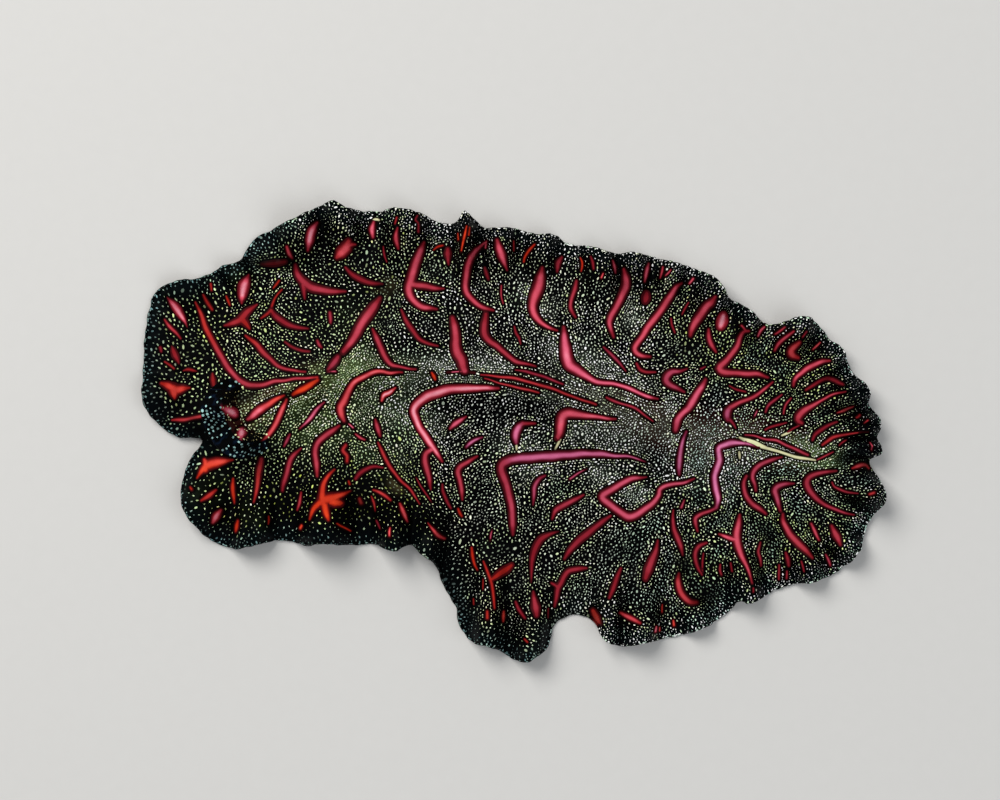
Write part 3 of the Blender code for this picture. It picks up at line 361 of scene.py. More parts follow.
TAIL_BARS = [
    (CRIMSON, DIM, (30, 25), 31.4, 10.7, 31.0, 10.1),
    (SCARLET, VIVID, (25, 32, 25), 33.2, 9.6, 32.8, 9.2, 32.4, 8.8),
    (CRIMSON, 0.85, (35, 55, 65, 70, 65, 60, 50, 35), 34.0, 7.6, 33.3, 7.5, 32.5, 7.2, 31.8, 6.8, 31.2, 6.3,
     30.7, 5.9, 30.4, 5.4, 30.3, 4.9),
    (CRIMSON, DIM, (45, 58, 58, 50, 45, 35), 35.5, 5.1, 34.7, 5.55, 34.0, 5.7, 33.2, 5.4, 32.3, 4.9,
     31.6, 4.45),
    (-0.2, 0.75, (25, 30, 35, 40, 60, 85, 95, 60), 35.6, 4.25, 34.5, 4.0, 33.5, 3.5, 32.5, 2.9, 31.5, 2.3,
     30.8, 1.65, 30.65, 1.2, 31.1, 0.95),
    (SCARLET, VIVID, (30, 42, 42, 25), 36.6, 2.6, 36.0, 2.4, 35.5, 2.2, 35.0, 2.0),
    (SCARLET, DULL, (25, 30, 25), 37.3, 1.85, 37.1, 1.65, 36.8, 1.5),
    (SCARLET, FAIR, (25, 30), 37.9, 1.2, 37.6, 0.9),
    (0.3, 0.35, (25, 40, 50, 50, 40), 34.9, 1.0, 34.0, 0.7, 33.2, 0.2, 32.5, -0.3, 32.2, -0.9),
    (SCARLET, FAIR, (12, 15, 30, 42, 45, 35), 38.0, 0.0, 36.6, -0.15, 35.5, -0.35, 34.5, -0.6, 33.8, -1.05,
     33.3, -1.45),
    (CRIMSON, DIM, (20, 28, 20), 35.9, -0.9, 35.5, -1.15, 35.1, -1.5),
    (CRIMSON, FAIR, (20, 25, 20), 34.4, -2.2, 33.6, -2.6, 32.7, -3.0),
    (SCARLET, BRIGHT, (35, 48, 55, 50, 30), 38.45, -4.0, 38.15, -3.65, 37.7, -3.55, 37.1, -3.7, 36.5, -3.95),
    (0.3, FAIR, (30, 45, 60, 75, 80, 75, 65, 55, 45, 40, 35, 25), 34.8, -4.2, 33.5, -4.4, 32.5, -4.6,
     31.85, -4.95, 31.65, -5.5, 31.9, -6.2, 32.5, -7.0, 33.3, -7.65, 34.3, -8.2, 35.5, -8.7, 36.8, -9.0),
    (CRIMSON, FAIR, (25, 30, 35, 30, 20), 34.35, -5.5, 34.6, -6.0, 35.3, -6.3, 36.0, -6.5, 36.9, -6.6),
    (SCARLET, FAIR, (35, 42), 38.0, -6.65, 38.5, -6.5),
    (0.5, 0.75, (25, 55, 75, 85, 70, 60, 40), 30.3, -5.6, 29.2, -5.7, 28.5, -5.95, 28.25, -6.4, 28.5, -7.2,
     28.75, -8.0, 28.95, -8.6),
    (CRIMSON, BRIGHT, (20, 25, 20), 38.2, -1.2, 38.4, -1.6, 38.5, -2.0),
]
LEFT_REAR_BARS = [
    (0.95, VIVID, (20, 35, 55, 80, 80, 78, 80, 85, 85, 85, 70, 50), 26.4, -1.75, 25.0, -1.25, 23.8, -1.2,
     22.7, -1.4, 22.1, -1.75, 22.2, -2.6, 22.25, -3.2, 21.9, -4.2, 21.7, -5.0, 21.9, -6.2, 22.15, -7.3,
     22.0, -8.2),
    (0.3, 0.65, (45, 48, 50, 60, 50, 30), 22.0, -8.2, 21.2, -8.6, 20.3, -8.9, 19.75, -9.3, 19.75, -9.9,
     20.0, -10.8),
    (0.4, 0.7, (25, 50, 60, 68, 65, 50, 35), 28.9, -2.75, 27.6, -3.1, 26.5, -3.7, 25.9, -4.3, 25.8, -5.0,
     26.1, -5.7, 26.25, -6.4),
    (0.3, 0.65, (40, 55, 65, 70, 70, 65, 40), 25.15, -4.8, 24.9, -5.5, 25.0, -6.3, 25.3, -7.1, 25.8, -7.8,
     26.6, -8.3, 27.3, -8.9),
    (RUBY, 0.72, (40, 75, 90, 95, 90, 75, 40), 29.2, -8.9, 29.2, -9.7, 29.6, -10.5, 30.1, -11.3,
     30.7, -12.0, 31.4, -12.7, 32.1, -13.5),
    (CRIMSON, BRIGHT, (35, 50, 35), 32.2, -9.9, 32.6, -10.8, 33.1, -11.7),
    (CRIMSON, 0.7, (50, 90, 45), 34.4, -10.2, 34.7, -11.0, 35.1, -12.1),
    (CRIMSON, FAIR, (30, 40, 40, 30), 26.8, -12.0, 26.5, -13.0, 26.7, -13.8, 26.8, -14.5),
    (CRIMSON, 0.55, (35, 55, 40), 29.5, -13.1, 29.7, -13.8, 29.8, -14.5),
    (CRIMSON, DIM, (25, 30, 25), 31.0, -13.9, 31.1, -14.4, 31.2, -15.0),
    (ROSE, 0.7, (25, 38, 30), 33.8, -13.3, 34.1, -13.9, 34.3, -14.5),
    (CRIMSON, FAIR, (25, 30, 25), 28.8, -14.4, 28.8, -15.2, 28.8, -16.0),
    (CRIMSON, FAIR, (25, 30), 29.6, -15.1, 29.6, -15.9),
    (CRIMSON, DIM, (25, 25), 25.7, -16.7, 25.7, -17.2),
    (0.2, FAIR, (25, 45, 60, 70, 60, 30), 17.4, -8.5, 17.3, -9.6, 17.4, -10.6, 17.8, -11.5, 18.15, -12.4,
     18.4, -13.4),
    (ROSE, FAIR, (22, 36), 18.5, -7.4, 18.25, -8.2),
    (0.2, 0.85, (40, 80, 95, 95, 90, 75, 55, 40, 30), 24.5, -9.0, 24.4, -10.0, 24.2, -11.0, 24.2, -11.8,
     24.4, -12.6, 24.8, -13.6, 25.2, -14.6, 25.6, -16.2),
    (0.2, 0.9, (30, 50, 70), 22.3, -11.1, 23.2, -11.4, 24.1, -11.7),
    (CRIMSON, FAIR, (35, 55, 55, 55, 50, 30), 20.9, -12.0, 20.2, -12.3, 19.8, -13.0, 19.8, -13.9,
     20.1, -14.8, 20.5, -15.5),
    (CRIMSON, DIM, (20, 30, 20), 20.6, -13.2, 20.55, -14.2, 20.6, -15.3),
    (CRIMSON, FAIR, (25, 35, 30), 22.4, -14.4, 22.4, -15.0, 22.6, -15.5),
    (CRIMSON, DIM, (25, 25), 23.5, -14.2, 23.6, -15.0),
    (CRIMSON, 0.65, (35, 70, 95, 105, 70), 15.7, -11.8, 15.5, -12.8, 15.1, -13.9, 14.7, -14.9, 14.3, -15.9),
    (RUBY, 0.85, (35, 70, 85, 85, 80, 50), 18.0, -15.3, 17.9, -16.2, 18.1, -17.1, 18.6, -17.9, 19.2, -18.4,
     19.9, -18.4),
    (SCARLET, BRIGHT, (22, 28, 22), 16.2, -18.7, 16.2, -19.1, 16.2, -19.6),
    (SCARLET, VIVID, (30, 38), 17.4, -20.5, 17.5, -21.0),
    (CRIMSON, PAINTED_HIGHLIGHT, (32, 38), 15.4, -21.0, 15.3, -21.5),
    (SCARLET, VIVID, (25, 30), 15.8, -21.1, 15.8, -21.5),
]
LEFT_MIDDLE_BARS = [
    (CRIMSON, DIM, (20, 50, 75, 88, 85, 70, 50, 30, 20), 5.0, -10.85, 4.0, -11.1, 3.1, -11.6, 2.6, -12.3,
     2.3, -13.1, 2.12, -14.0, 2.05, -15.0, 2.0, -16.3),
    (CRIMSON, FAIR, (35, 60, 75, 75, 75, 70, 55, 35), 8.0, -14.8, 7.0, -14.9, 6.1, -15.1, 5.6, -15.7,
     5.3, -16.3, 4.9, -17.0, 4.75, -18.0, 4.6, -18.9),
    (CRIMSON, FAIR, (35, 60), 4.2, -16.4, 5.0, -16.8),
    (CRIMSON, 0.55, (35, 60, 65, 40), 11.7, -14.8, 11.3, -15.8, 10.9, -16.8, 10.4, -17.9),
    (CRIMSON, 0.7, (35, 70, 110, 70), 2.3, -17.3, 2.4, -18.2, 2.5, -19.1, 2.55, -19.7),
    (CRIMSON, FAIR, (35, 50, 35), 0.3, -18.4, 0.7, -19.2, 1.3, -20.0),
    (CRIMSON, DIM, (20, 27, 20), 3.9, -19.1, 3.87, -19.6, 3.85, -20.1),
    (SCARLET, VIVID, (75, 100, 60), 8.7, -19.4, 9.0, -20.0, 9.3, -20.6),
    (RUBY, VIVID, (40, 68, 40), 11.6, -19.5, 12.5, -19.9, 13.6, -20.4),
    (SCARLET, DIM, (30, 30), 1.3, -22.2, 1.6, -22.5),
    (ORANGE, FAIR, (35, 50, 40, 30), -4.4, -12.6, -4.3, -13.6, -4.1, -14.4, -3.8, -15.0),
    (SCARLET, FAIR, (30, 45, 48, 45, 40, 30), -3.1, -14.0, -2.7, -15.0, -2.4, -15.9, -2.2, -16.8,
     -2.0, -17.8, -1.9, -18.9),
    (SCARLET, 0.5, (50, 90, 105, 60), -2.3, -15.9, -1.5, -15.4, -0.8, -15.0, -0.1, -14.4),
    (SCARLET, DIM, (15, 20, 15), -3.2, -15.8, -3.2, -16.4, -3.2, -17.0),
    (SCARLET, FAIR, (40, 45), -2.7, -19.2, -2.7, -19.9),
    (SCARLET, VIVID, (40, 55, 40), -0.95, -19.4, -0.97, -19.9, -1.0, -20.4),
    (SCARLET, DIM, (25, 25), -4.2, -18.0, -4.2, -18.6),
    (ROSE, BRIGHT, (15, 25, 15), -2.2, -10.7, -2.35, -11.2, -2.4, -11.8),
    (SCARLET, BRIGHT, (22, 45, 58, 40), -9.0, -9.8, -8.4, -10.5, -7.9, -11.1, -7.3, -11.5),
    (ORANGE, DIM, (35, 45, 30), -5.85, -8.4, -5.7, -8.8, -5.45, -9.2),
]
LEFT_SHOULDER_BARS = [
    (SCARLET, FAIR, (30, 48, 52, 50, 45, 40, 32, 20), -14.5, -1.2, -14.0, -2.2, -13.55, -3.2, -13.0, -4.2,
     -12.2, -5.2, -11.2, -6.1, -10.6, -6.9, -10.0, -7.9),
    (CRIMSON, DIM, (25, 40, 55, 60, 45), -14.0, -3.9, -15.0, -3.85, -15.8, -4.1, -16.5, -4.6, -16.95, -5.1),
    (SCARLET, 0.7, (30, 55, 75, 90, 130), -19.2, -4.1, -19.9, -4.8, -20.3, -5.6, -20.4, -6.6, -20.3, -7.5),
    (-0.6, 0.8, (135, 130, 80, 30), -20.3, -7.25, -19.3, -7.15, -18.5, -6.85, -17.5, -6.45),
    (-0.7, 0.85, (70, 110, 80), -19.6, -7.5, -18.9, -7.6, -18.4, -7.7),
    (-0.7, 0.7, (95, 75, 40), -20.6, -7.6, -21.2, -8.3, -21.6, -9.3),
    (-0.7, 0.9, (95, 75, 40), -20.1, -7.8, -19.85, -8.6, -19.55, -9.4),
    (CRIMSON, 0.7, (30, 48, 30), -22.8, -6.6, -22.9, -7.6, -23.2, -8.5),
    (SCARLET, VIVID, (45, 50), -22.65, -10.1, -22.8, -10.4),
    (SCARLET, BRIGHT, (50, 55), -16.5, -7.3, -16.3, -7.8),
    (ORANGE, DIM, (28, 32), -17.7, -5.35, -17.6, -5.7),
    (SCARLET, 0.65, (30, 48, 50, 35), -15.0, -6.35, -14.4, -6.6, -13.7, -6.95, -13.1, -7.4),
    (SCARLET, FAIR, (20, 35, 30, 20), -15.25, -7.0, -15.1, -7.5, -14.95, -8.0, -14.8, -8.6),
    (SCARLET, VIVID, (35, 55, 50, 30), -12.1, -7.8, -11.8, -8.5, -11.55, -9.1, -11.3, -9.7),
    (ORANGE, FAIR, (25, 32, 25), -18.7, -9.8, -18.2, -10.2, -17.4, -10.7),
    (ROSE, DIM, (30, 35, 25), -14.6, -9.6, -14.4, -9.95, -14.2, -10.4),
    (SCARLET, VIVID, (25, 35, 30), -13.05, -10.2, -13.1, -10.6, -13.1, -11.1),
    (SCARLET, DIM, (20, 28, 20), -26.2, -9.1, -26.15, -9.5, -26.2, -9.9),
    (SCARLET, 0.95, (35, 85, 130, 125, 80, 30), -33.95, -5.0, -33.35, -4.1, -32.8, -3.65, -32.0, -3.35,
     -31.1, -3.2, -30.1, -3.05),
    (SCARLET, 0.8, (50, 100, 100), -33.25, -3.05, -33.05, -3.55, -33.1, -4.1),
    (RUBY, 0.65, (40, 75, 40), -33.3, -7.4, -32.6, -6.9, -31.9, -6.3),
    (CRIMSON, 1.2, (45, 88, 50), -31.4, -8.5, -31.8, -9.1, -32.2, -9.8),
    (SCARLET, FAIR, (35, 60, 55, 30), -30.1, -5.1, -30.1, -6.0, -30.05, -6.9, -30.0, -7.8),
    (SCARLET, 0.7, (50, 78, 50), -29.5, -9.6, -29.6, -10.1, -29.7, -10.7),
    (ORANGE, DIM, (35, 42), -34.6, -6.0, -34.4, -6.2),
]
# Cream white streaks: ends of bars where the spots run together, and the crest of the tail ridge
WHITE_STREAKS = [
    (PALE, BRIGHT, (20, 40, 48, 30), 24.3, -0.6, 25.3, -1.0, 26.4, -1.45, 27.3, -1.8),
    (PALE, FAIR, (30, 28, 26, 30, 18), 27.3, -1.8, 28.6, -2.15, 30.0, -2.6, 31.3, -2.9, 32.5, -3.05),
    (PALE, FAIR, (18, 26, 15), 28.9, -0.45, 29.3, -0.25, 29.9, 0.0),
    (PALE, DIM, (22, 26, 18), 0.35, -1.35, 0.4, -1.7, 0.42, -2.0),
    (PALE, DIM, (20, 26, 16), 5.2, -0.9, 4.95, -1.3, 4.6, -1.9),
    (PALE, DIM, (20, 30, 20), 24.3, -2.2, 24.35, -2.55, 24.4, -2.9),
    (PALE, FAIR, (20, 28, 20), -15.0, 22.85, -14.7, 22.9, -14.4, 22.8),
]
BARS = (WHITE_STREAKS + HEAD_BARS + RIGHT_LOBE_BARS + RIGHT_SHOULDER_BARS + RIGHT_FRONT_BARS + MIDLINE_BARS
        + RIGHT_MIDDLE_BARS + RIGHT_REAR_BARS + TAIL_BARS + LEFT_REAR_BARS + LEFT_MIDDLE_BARS
        + LEFT_SHOULDER_BARS)

# Painted shade: places that lie deep between folds, where the spots are dimmed and the skin darkened as if
# in shadow: two ends and the half width
PAINTED_SHADE_PLACES = [((-7.9, -14.3), (-6.4, -19.5), 1.5), ((4.6, -20.4), (8.4, -20.3), 1.2),
               ((-29.0, 18.2), (-23.6, 18.3), 0.8), ((-14.0, 15.4), (-13.3, 15.2), 1.0),
               ((18.5, -14.0), (18.5, -15.1), 0.9), ((20.0, -18.0), (21.5, -18.0), 1.1),
               ((27.5, -11.0), (27.5, -12.0), 0.9), ((36.2, -7.3), (37.0, -7.3), 0.7),
               ((35.0, -2.9), (38.3, -3.2), 0.7), ((-17.0, -7.0), (-15.6, -8.6), 0.9),
               ((-32.6, -1.2), (-34.4, 0.9), 0.8), ((-24.0, 4.0), (-23.8, 4.1), 0.35),
               ((-29.6, 3.5), (-27.8, 4.0), 0.7)]

# Places where the spots are dim, far apart, or yellow, some of them only in part, as a last share tells
QUIET_PLACES = [((-38.0, 3.0), (-37.0, 10.0), 3.0, 0.75), ((-35.0, 1.5), (-31.5, -2.5), 2.2, 0.7),
                ((-26.0, -7.0), (-8.0, -11.0), 3.4, 0.45), ((-3.0, -11.5), (4.0, -18.5), 3.2, 0.75),
                ((-17.0, -5.5), (-11.0, -6.5), 2.2, 1.2), ((-33.0, 5.0), (-32.0, 9.0), 2.2, 0.3),
                ((36.6, -5.5), (37.0, -2.0), 1.6, 0.7), ((8.5, 16.5), (9.5, 19.0), 1.8, 0.3),
                ((3.0, -10.5), (12.0, -13.0), 2.6, 0.45), ((19.5, -12.0), (22.0, -16.0), 2.2, 0.4),
                ((-21.0, 17.0), (-14.5, 19.0), 2.4, 0.3), ((8.5, 3.2), (16.5, 0.8), 1.2, 0.4),
                ((28.0, 2.5), (30.0, 2.0), 1.6, 0.45), ((-25.0, -1.8), (-21.5, -3.2), 2.5, 0.8),
                ((-23.0, 9.7), (-18.5, 12.0), 2.2, 0.35), ((-37.0, 7.0), (-35.5, 9.0), 2.2, 0.8),
                ((19.0, 9.0), (22.0, 9.0), 2.5, 0.75), ((26.5, 5.5), (29.0, 4.5), 2.2, 0.45)]
SPARSE_PLACES = [((-33.0, -8.5), (-9.0, -10.5), 3.0, 0.75), ((-26.0, -6.0), (-16.0, -6.5), 2.2, 0.6),
                 ((-21.5, 13.5), (-16.5, 15.5), 2.4, 0.45), ((-34.5, 12.5), (-31.0, 14.0), 2.4, 0.3),
                 ((-34.0, 1.0), (-31.5, -3.5), 2.0, 0.6), ((-21.0, 17.5), (-15.0, 20.0), 2.0, 0.3),
                 ((3.0, 17.5), (10.0, 18.0), 1.8, 0.3), ((-7.5, -13.5), (-6.0, -15.0), 1.6, 0.6),
                 ((-12.0, 9.5), (-3.0, 13.5), 2.4, 0.2),
                 ((-23.0, 9.7), (-18.5, 12.0), 2.2, 0.25), ((-5.0, -12.0), (2.0, -13.0), 2.4, 0.25),
                 ((-36.8, 7.5), (-36.0, 9.0), 2.0, 0.25), ((-26.0, -5.0), (-22.0, -6.5), 1.8, 0.4)]
YELLOW_PLACES = [((-33.0, -8.0), (-12.0, -7.5), 4.0), ((-37.0, 9.0), (-30.0, 13.5), 4.0, 0.5),
                 ((22.0, 9.0), (33.0, 3.0), 4.0, 0.6), ((28.0, -9.0), (34.0, -10.0), 3.0, 0.4)]
# Places where the spots run together into a pale bloom
PALE_PLACES = [((-28.0, 2.0), (-23.0, 3.2), 1.5), ((-19.0, 3.0), (-16.5, 8.0), 1.5),
               ((-13.0, 2.5), (-9.5, 0.5), 1.8), ((-8.0, 6.9), (-1.0, 7.2), 1.3),
               ((5.0, 9.0), (13.0, 4.5), 1.6), ((17.0, 2.5), (18.0, -3.0), 1.1),
               ((20.5, -1.8), (33.0, -2.4), 1.3), ((21.0, -4.0), (22.5, -6.5), 1.1),
               ((0.0, -1.5), (2.5, -3.5), 1.6), ((9.0, -4.5), (14.0, -7.0), 1.0),
               ((19.5, -3.2), (24.0, -3.0), 2.4), ((-21.5, 0.5), (-18.5, 1.5), 2.4, 0.8),
               ((-16.0, 3.0), (-12.5, 5.0), 2.2, 0.7),
               ((7.0, 0.8), (12.0, -0.5), 2.2, 0.9), ((-16.0, -1.5), (-13.0, -2.5), 1.8, 0.4),
               ((1.6, 15.0), (3.5, 13.0), 1.0), ((12.0, 14.0), (13.5, 11.5), 1.0)]
OLIVE_PLACES = [((-13.9, 15.2), (-13.3, 15.6), 0.75), ((-12.8, -5.6), (-12.2, -6.0), 0.6)]

# Fineness of the skin and reach of the bars, in millimetres
OPEN_STEP = 0.30
GUIDE_STEP = 0.2
GUIDE_ROOM = 0.085
RIM_REACH = 0.12
WIDE_HALF = 0.3
CLEAR_OF_BARS = 0.22
UNDER_STEP = 0.65
RIM_STEP = 0.2
LIP_RADIUS = 0.24
LIP_LEVELS = (50.0, 0.0, -50.0)
LIP_ZONE, LIP_THINNING = 1.3, 0.35
LIP_UNROLLED = 0.18
BAR_REACH = 1.6
STROKE_STEP = 0.1
LONGEST_FADE, FADE_SHARE = 1.2, 0.33
TINT_BLEND = 0.3

# Irregular waves: how many make a field, and how their lengths spread
WAVES, WAVE_SPREAD = 7, (0.7, 1.5)
# Each kind of wave: its height, its length and the start of its random draws
WRINKLES = ((0.035, 1.3, 11), (0.018, 0.6, 12))
LIP_WAVES = ((0.05, 2.2, 21), (0.035, 1.1, 22))
LIP_SET_IN = 0.06
WOBBLE, WOBBLE_LENGTH, WOBBLE_SEEDS = 0.035, 2.6, (41, 42)

# Lattices of the skin and the spots: how far points are shifted, and the start of the draws
BACK_LATTICE, UNDER_LATTICE, SPOT_LATTICE = (0.12, 31), (0.1, 32), (0.45, 61)
# Room between the lip and the mesh points of the bars, and the under side
GUIDE_CLEAR, UNDER_CLEAR = 0.12, 0.25
# The headings of the points round the end of a bar, from its own heading
END_TURNS = (-66.0, -33.0, 0.0, 33.0, 66.0)
# How far bars turn to orange at the front and on the left, and how much they dim on the left
FRONT_ORANGE, LEFT_ORANGE, LEFT_DIM = 0.40, 0.20, 0.15

# The rows of spots beside the bars, by how far they lie from the edge of one
FIRST_ROW, ROW_STEP, LAST_ROW = 0.25, 0.25, 0.8

# How high the middles of the spots stand, and the starts of their random draws
SPOT_LIFT, EAR_SPOT_LIFT, EYESPOT_LIFT = 0.03, 0.035, 0.05
SPOT_SEED, EAR_SPOT_SEED, EYESPOT_SEED = 62, 81, 91

# The upturned margin: its mesh, its edge, the rear of its black band, and how it stands in the head
EAR_COLUMNS, EAR_ROWS, EAR_LIP_ROWS, EAR_UNDER_ROWS = 190, 56, 4, 14
EAR_EDGE_THICKNESS, EAR_EDGE_BULGE = 0.42, 0.14
EAR_BAND = (0.28, 0.46)
EAR_FOOT, EAR_SINK = 0.25, 0.06
HOLLOW_FROM = 0.42
EAR_TRIES = 9000

# A spot is a fan of triangles round a raised middle
DOME_SIDES = 6
DOME_FOOT = 0.004

# The unwrap: the back fills the upper part, the under side and the pseudotentacles lie below it
UNWRAP_WIDTH = 82.0
BACK_ISLAND = (0.5, 0.69, 0.98)
UNDER_ISLAND = (0.255, 0.18, 0.49)
EAR_ISLAND = (0.55, 0.03, 0.40, 0.26)
PATCH = 0.0015

# The studio
VIEW_CENTRE = (-1.344, 3.387)
VIEW_WIDTH = 107.53
VIEW_LEVEL = 2.0
SENSOR = 36.0
# Each lamp's place and width in metres, and its colour
KEY_LAMP = ((-0.22, 0.26, 0.42), 0.30, (1.0, 0.985, 0.96))
FILL_LAMP = ((0.34, -0.24, 0.40), 0.45, (0.94, 0.97, 1.0))
SKY_COLOUR = (0.92, 0.96, 1.0, 1.0)


def from_screen(red, green, blue):
    """A colour as a screen shows it, 0 to 255, in the linear values that Blender works in."""
    shares = [channel / 255.0 for channel in (red, green, blue)]
    return tuple(s / 12.92 if s <= 0.04045 else ((s + 0.055) / 1.055) ** 2.4 for s in shares)


def smooth_step(low, high, value):
    """0 at the low value, 1 at the high one and smooth between; high may be the lower."""
    share = np.clip((np.asarray(value, dtype=float) - low) / (high - low), 0.0, 1.0)
    return share * share * (3.0 - 2.0 * share)


def smooth_run(points, closed=False, samples=24):
    """Dense points of a smooth curve through the given points."""
    points = np.array(points, dtype=float)
    if closed:
        knots = np.vstack([points[-1:], points, points[:2]])
    else:
        knots = np.vstack([2 * points[0] - points[1], points, 2 * points[-1] - points[-2]])
    share = np.linspace(0.0, 1.0, samples, endpoint=False)[:, None]
    runs = []
    for a, b, c, d in zip(knots, knots[1:], knots[2:], knots[3:]):
        runs.append(0.5 * (2 * b + (c - a) * share + (2 * a - 5 * b + 4 * c - d) * share ** 2
                           + (3 * b - a - 3 * c + d) * share ** 3))
    runs.append(points[:1] if closed else points[-1:])
    return np.vstack(runs)


def even_run(dense, step, closed=False):
    """The same curve as points one step apart, with the share of the length at each."""
    along = np.concatenate([[0.0], np.cumsum(np.linalg.norm(np.diff(dense, axis=0), axis=1))])
    count = max(int(round(along[-1] / step)), 2)
    share = np.linspace(0.0, 1.0, count + 1)
    if closed:
        share = share[:-1]
    points = np.stack([np.interp(share * along[-1], along, dense[:, k]) for k in (0, 1)], axis=1)
    return points, share


class Trace:
    """A line on the plan that tells how far any point is from it, and where on it is nearest."""

    def __init__(self, points, closed=False, step=0.08):
        self.points, self.share = even_run(smooth_run(points, closed), step, closed)
        self.tree = KDTree(len(self.points))
        for index, (x, y) in enumerate(self.points):
            self.tree.insert((x, y, 0.0), index)
        self.tree.balance()

    def nearest(self, plan):
        """How far plan points are from the line, and the share along it and the point that is nearest."""
        found = [self.tree.find((x, y, 0.0)) for x, y in plan.reshape(-1, 2)]
        index = np.array([hit[1] for hit in found])
        away = np.array([hit[2] for hit in found])
        shape = plan.shape[:-1]
        return away.reshape(shape), self.share[index].reshape(shape), self.points[index].reshape(plan.shape)


MARGIN_TRACE = Trace(MARGIN, closed=True)
MIDLINE_TRACE = Trace(MIDLINE)


def unit(vectors):
    """The same directions, each with a length of one."""
    return vectors / np.linalg.norm(vectors, axis=-1, keepdims=True)


def turned(heading):
    """Unit directions along and across a heading on the plan."""
    ahead = np.stack([np.cos(heading), np.sin(heading)], axis=-1)
    return ahead, np.stack([-ahead[..., 1], ahead[..., 0]], axis=-1)


def wander(plan, wavelength, seed):
    """A smooth irregular field, mostly between -1 and 1, with waves of about the given length."""
    chance = random.Random(seed)
    total = np.zeros(plan.shape[:-1])
    for _ in range(WAVES):
        heading = chance.uniform(0.0, math.tau)
        turn = math.tau / (wavelength * chance.uniform(*WAVE_SPREAD))
        across = plan[..., 0] * math.cos(heading) + plan[..., 1] * math.sin(heading)
        total += np.sin(across * turn + chance.uniform(0.0, math.tau))
    return total / math.sqrt(WAVES)


def waves(plan, kinds):
    """The sum of some kinds of irregular waves, each with a height, a length and a seed."""
    return sum(height * wander(plan, length, seed) for height, length, seed in kinds)


def fold_height(plan):
    """How far the under side of the skin is above the floor: 0 on the sole and in the valleys."""
    total = np.zeros(plan.shape[:-1])
    for inner, outer, height, width in CRESTS:
        inner, outer = np.array(inner), np.array(outer)
        run = np.linalg.norm(outer - inner)
        ahead = (outer - inner) / run
        offset = plan - inner
        along = offset @ ahead
        across = offset[..., 0] * ahead[1] - offset[..., 1] * ahead[0]
        behind = np.minimum(along, 0.0)
        ridge = np.exp(-((across ** 2 + behind ** 2) / width ** 2) ** CREST_ROUNDNESS)
        total += (height * smooth_step(0.0, run, along) * ridge) ** 2
    rise = np.maximum(np.sqrt(total) - SOLE_LEVEL, 0.0)
    return rise * rise / (rise + SOLE_BLEND)


def slope_of(plan):
    """The steepness of the folds at each plan point."""
    rises = []
    for shift in np.eye(2) * SLOPE_STEP:
        rises.append((fold_height(plan + shift) - fold_height(plan - shift)) / (2 * SLOPE_STEP))
    return np.hypot(*rises)


def skin_faces(plan, sizes):
    """Heights in millimetres of the under side and the back, and the distances they come from."""
    from_margin, _, at_margin = MARGIN_TRACE.nearest(plan)
    from_midline, share, _ = MIDLINE_TRACE.nearest(plan)
    droop = 1.0 - LIP_DROOP * (1.0 - smooth_step(0.0, DROOP_ZONE, from_margin))
    lower = fold_height(plan) * droop
    head_part = RIDGE_AT_HEAD + (1.0 - RIDGE_AT_HEAD) * smooth_step(0.0, RIDGE_FULL_FROM, share)
    tail_part = RIDGE_AT_TAIL + (1.0 - RIDGE_AT_TAIL) * smooth_step(1.0, RIDGE_FULL_TO, share)
    ridge = sizes.ridge_thickness / MM * head_part * tail_part
    ridge = ridge * np.exp(-(from_midline / RIDGE_SPREAD) ** 2)
    flank = sizes.flank_thickness / MM * np.exp(-(from_midline / FLANK_SPREAD) ** 2)
    steepness = np.minimum(np.hypot(1.0, slope_of(plan)), STEEPEST_THICKENING)
    thinned = 1.0 - LIP_THINNING * (1.0 - smooth_step(0.0, LIP_ZONE, from_margin))
    thickness = (sizes.lip_thickness / MM + flank + ridge) * steepness * thinned
    along_keel = smooth_step(0.03, 0.12, share) * smooth_step(1.0, 0.9, share)
    keel = sizes.keel_height / MM * along_keel * np.exp(-(from_midline / KEEL_HALF_WIDTH) ** 2)
    upper = lower + thickness + keel + waves(plan, WRINKLES)
    return {"lower": lower, "upper": upper, "from_margin": from_margin, "at_margin": at_margin,
            "from_midline": from_midline, "share": share}


class Stroke:
    """One bar of the pattern as dense points, with its half width, tint and brightness at each."""

    def __init__(self, tint, brightness, widths, *places):
        knots = np.reshape(places, (-1, 2))
        self.points, share = even_run(smooth_run(knots, samples=10), STROKE_STEP)
        self.half = np.interp(share, np.linspace(0.0, 1.0, len(widths)), np.array(widths) / 100) / 2
        run = len(self.points) * STROKE_STEP
        fade_run = min(LONGEST_FADE, run * FADE_SHARE)
        fade = 1.0
        for end, away in ((0, share * run), (-1, run - share * run)):
            thinness = 1.0 - self.half[end] / self.half.max()
            fade = fade * (1.0 - thinness * (1.0 - smooth_step(0.0, fade_run, away)))
        self.tint = tint
        self.brightness = brightness * fade
        ahead = np.gradient(self.points, axis=0)
        self.heading = np.arctan2(ahead[:, 1], ahead[:, 0])
        self.reach = self.half.max() + BAR_REACH

    def guide(self):
        """Points on the middle, the edges and the rim of the bar, which the mesh of the back follows."""
        pick = slice(None, None, int(round(GUIDE_STEP / STROKE_STEP)))
        middle, half = self.points[pick], self.half[pick][:, None]
        _, side = turned(self.heading[pick])
        lines = [middle + side * half, middle - side * half, middle]
        lines += [middle + side * (half + RIM_REACH), middle - side * (half + RIM_REACH)]
        if half.max() > WIDE_HALF:
            lines += [middle + side * half / 2, middle - side * half / 2]
        for end, facing in ((0, math.pi), (-1, 0.0)):
            round_end, _ = turned(self.heading[end] + facing + np.radians(END_TURNS))
            for away in (self.half[end], self.half[end] + RIM_REACH):
                lines.append(self.points[end] + round_end * away)
        return np.vstack(lines)


STROKES = [Stroke(*bar) for bar in BARS]


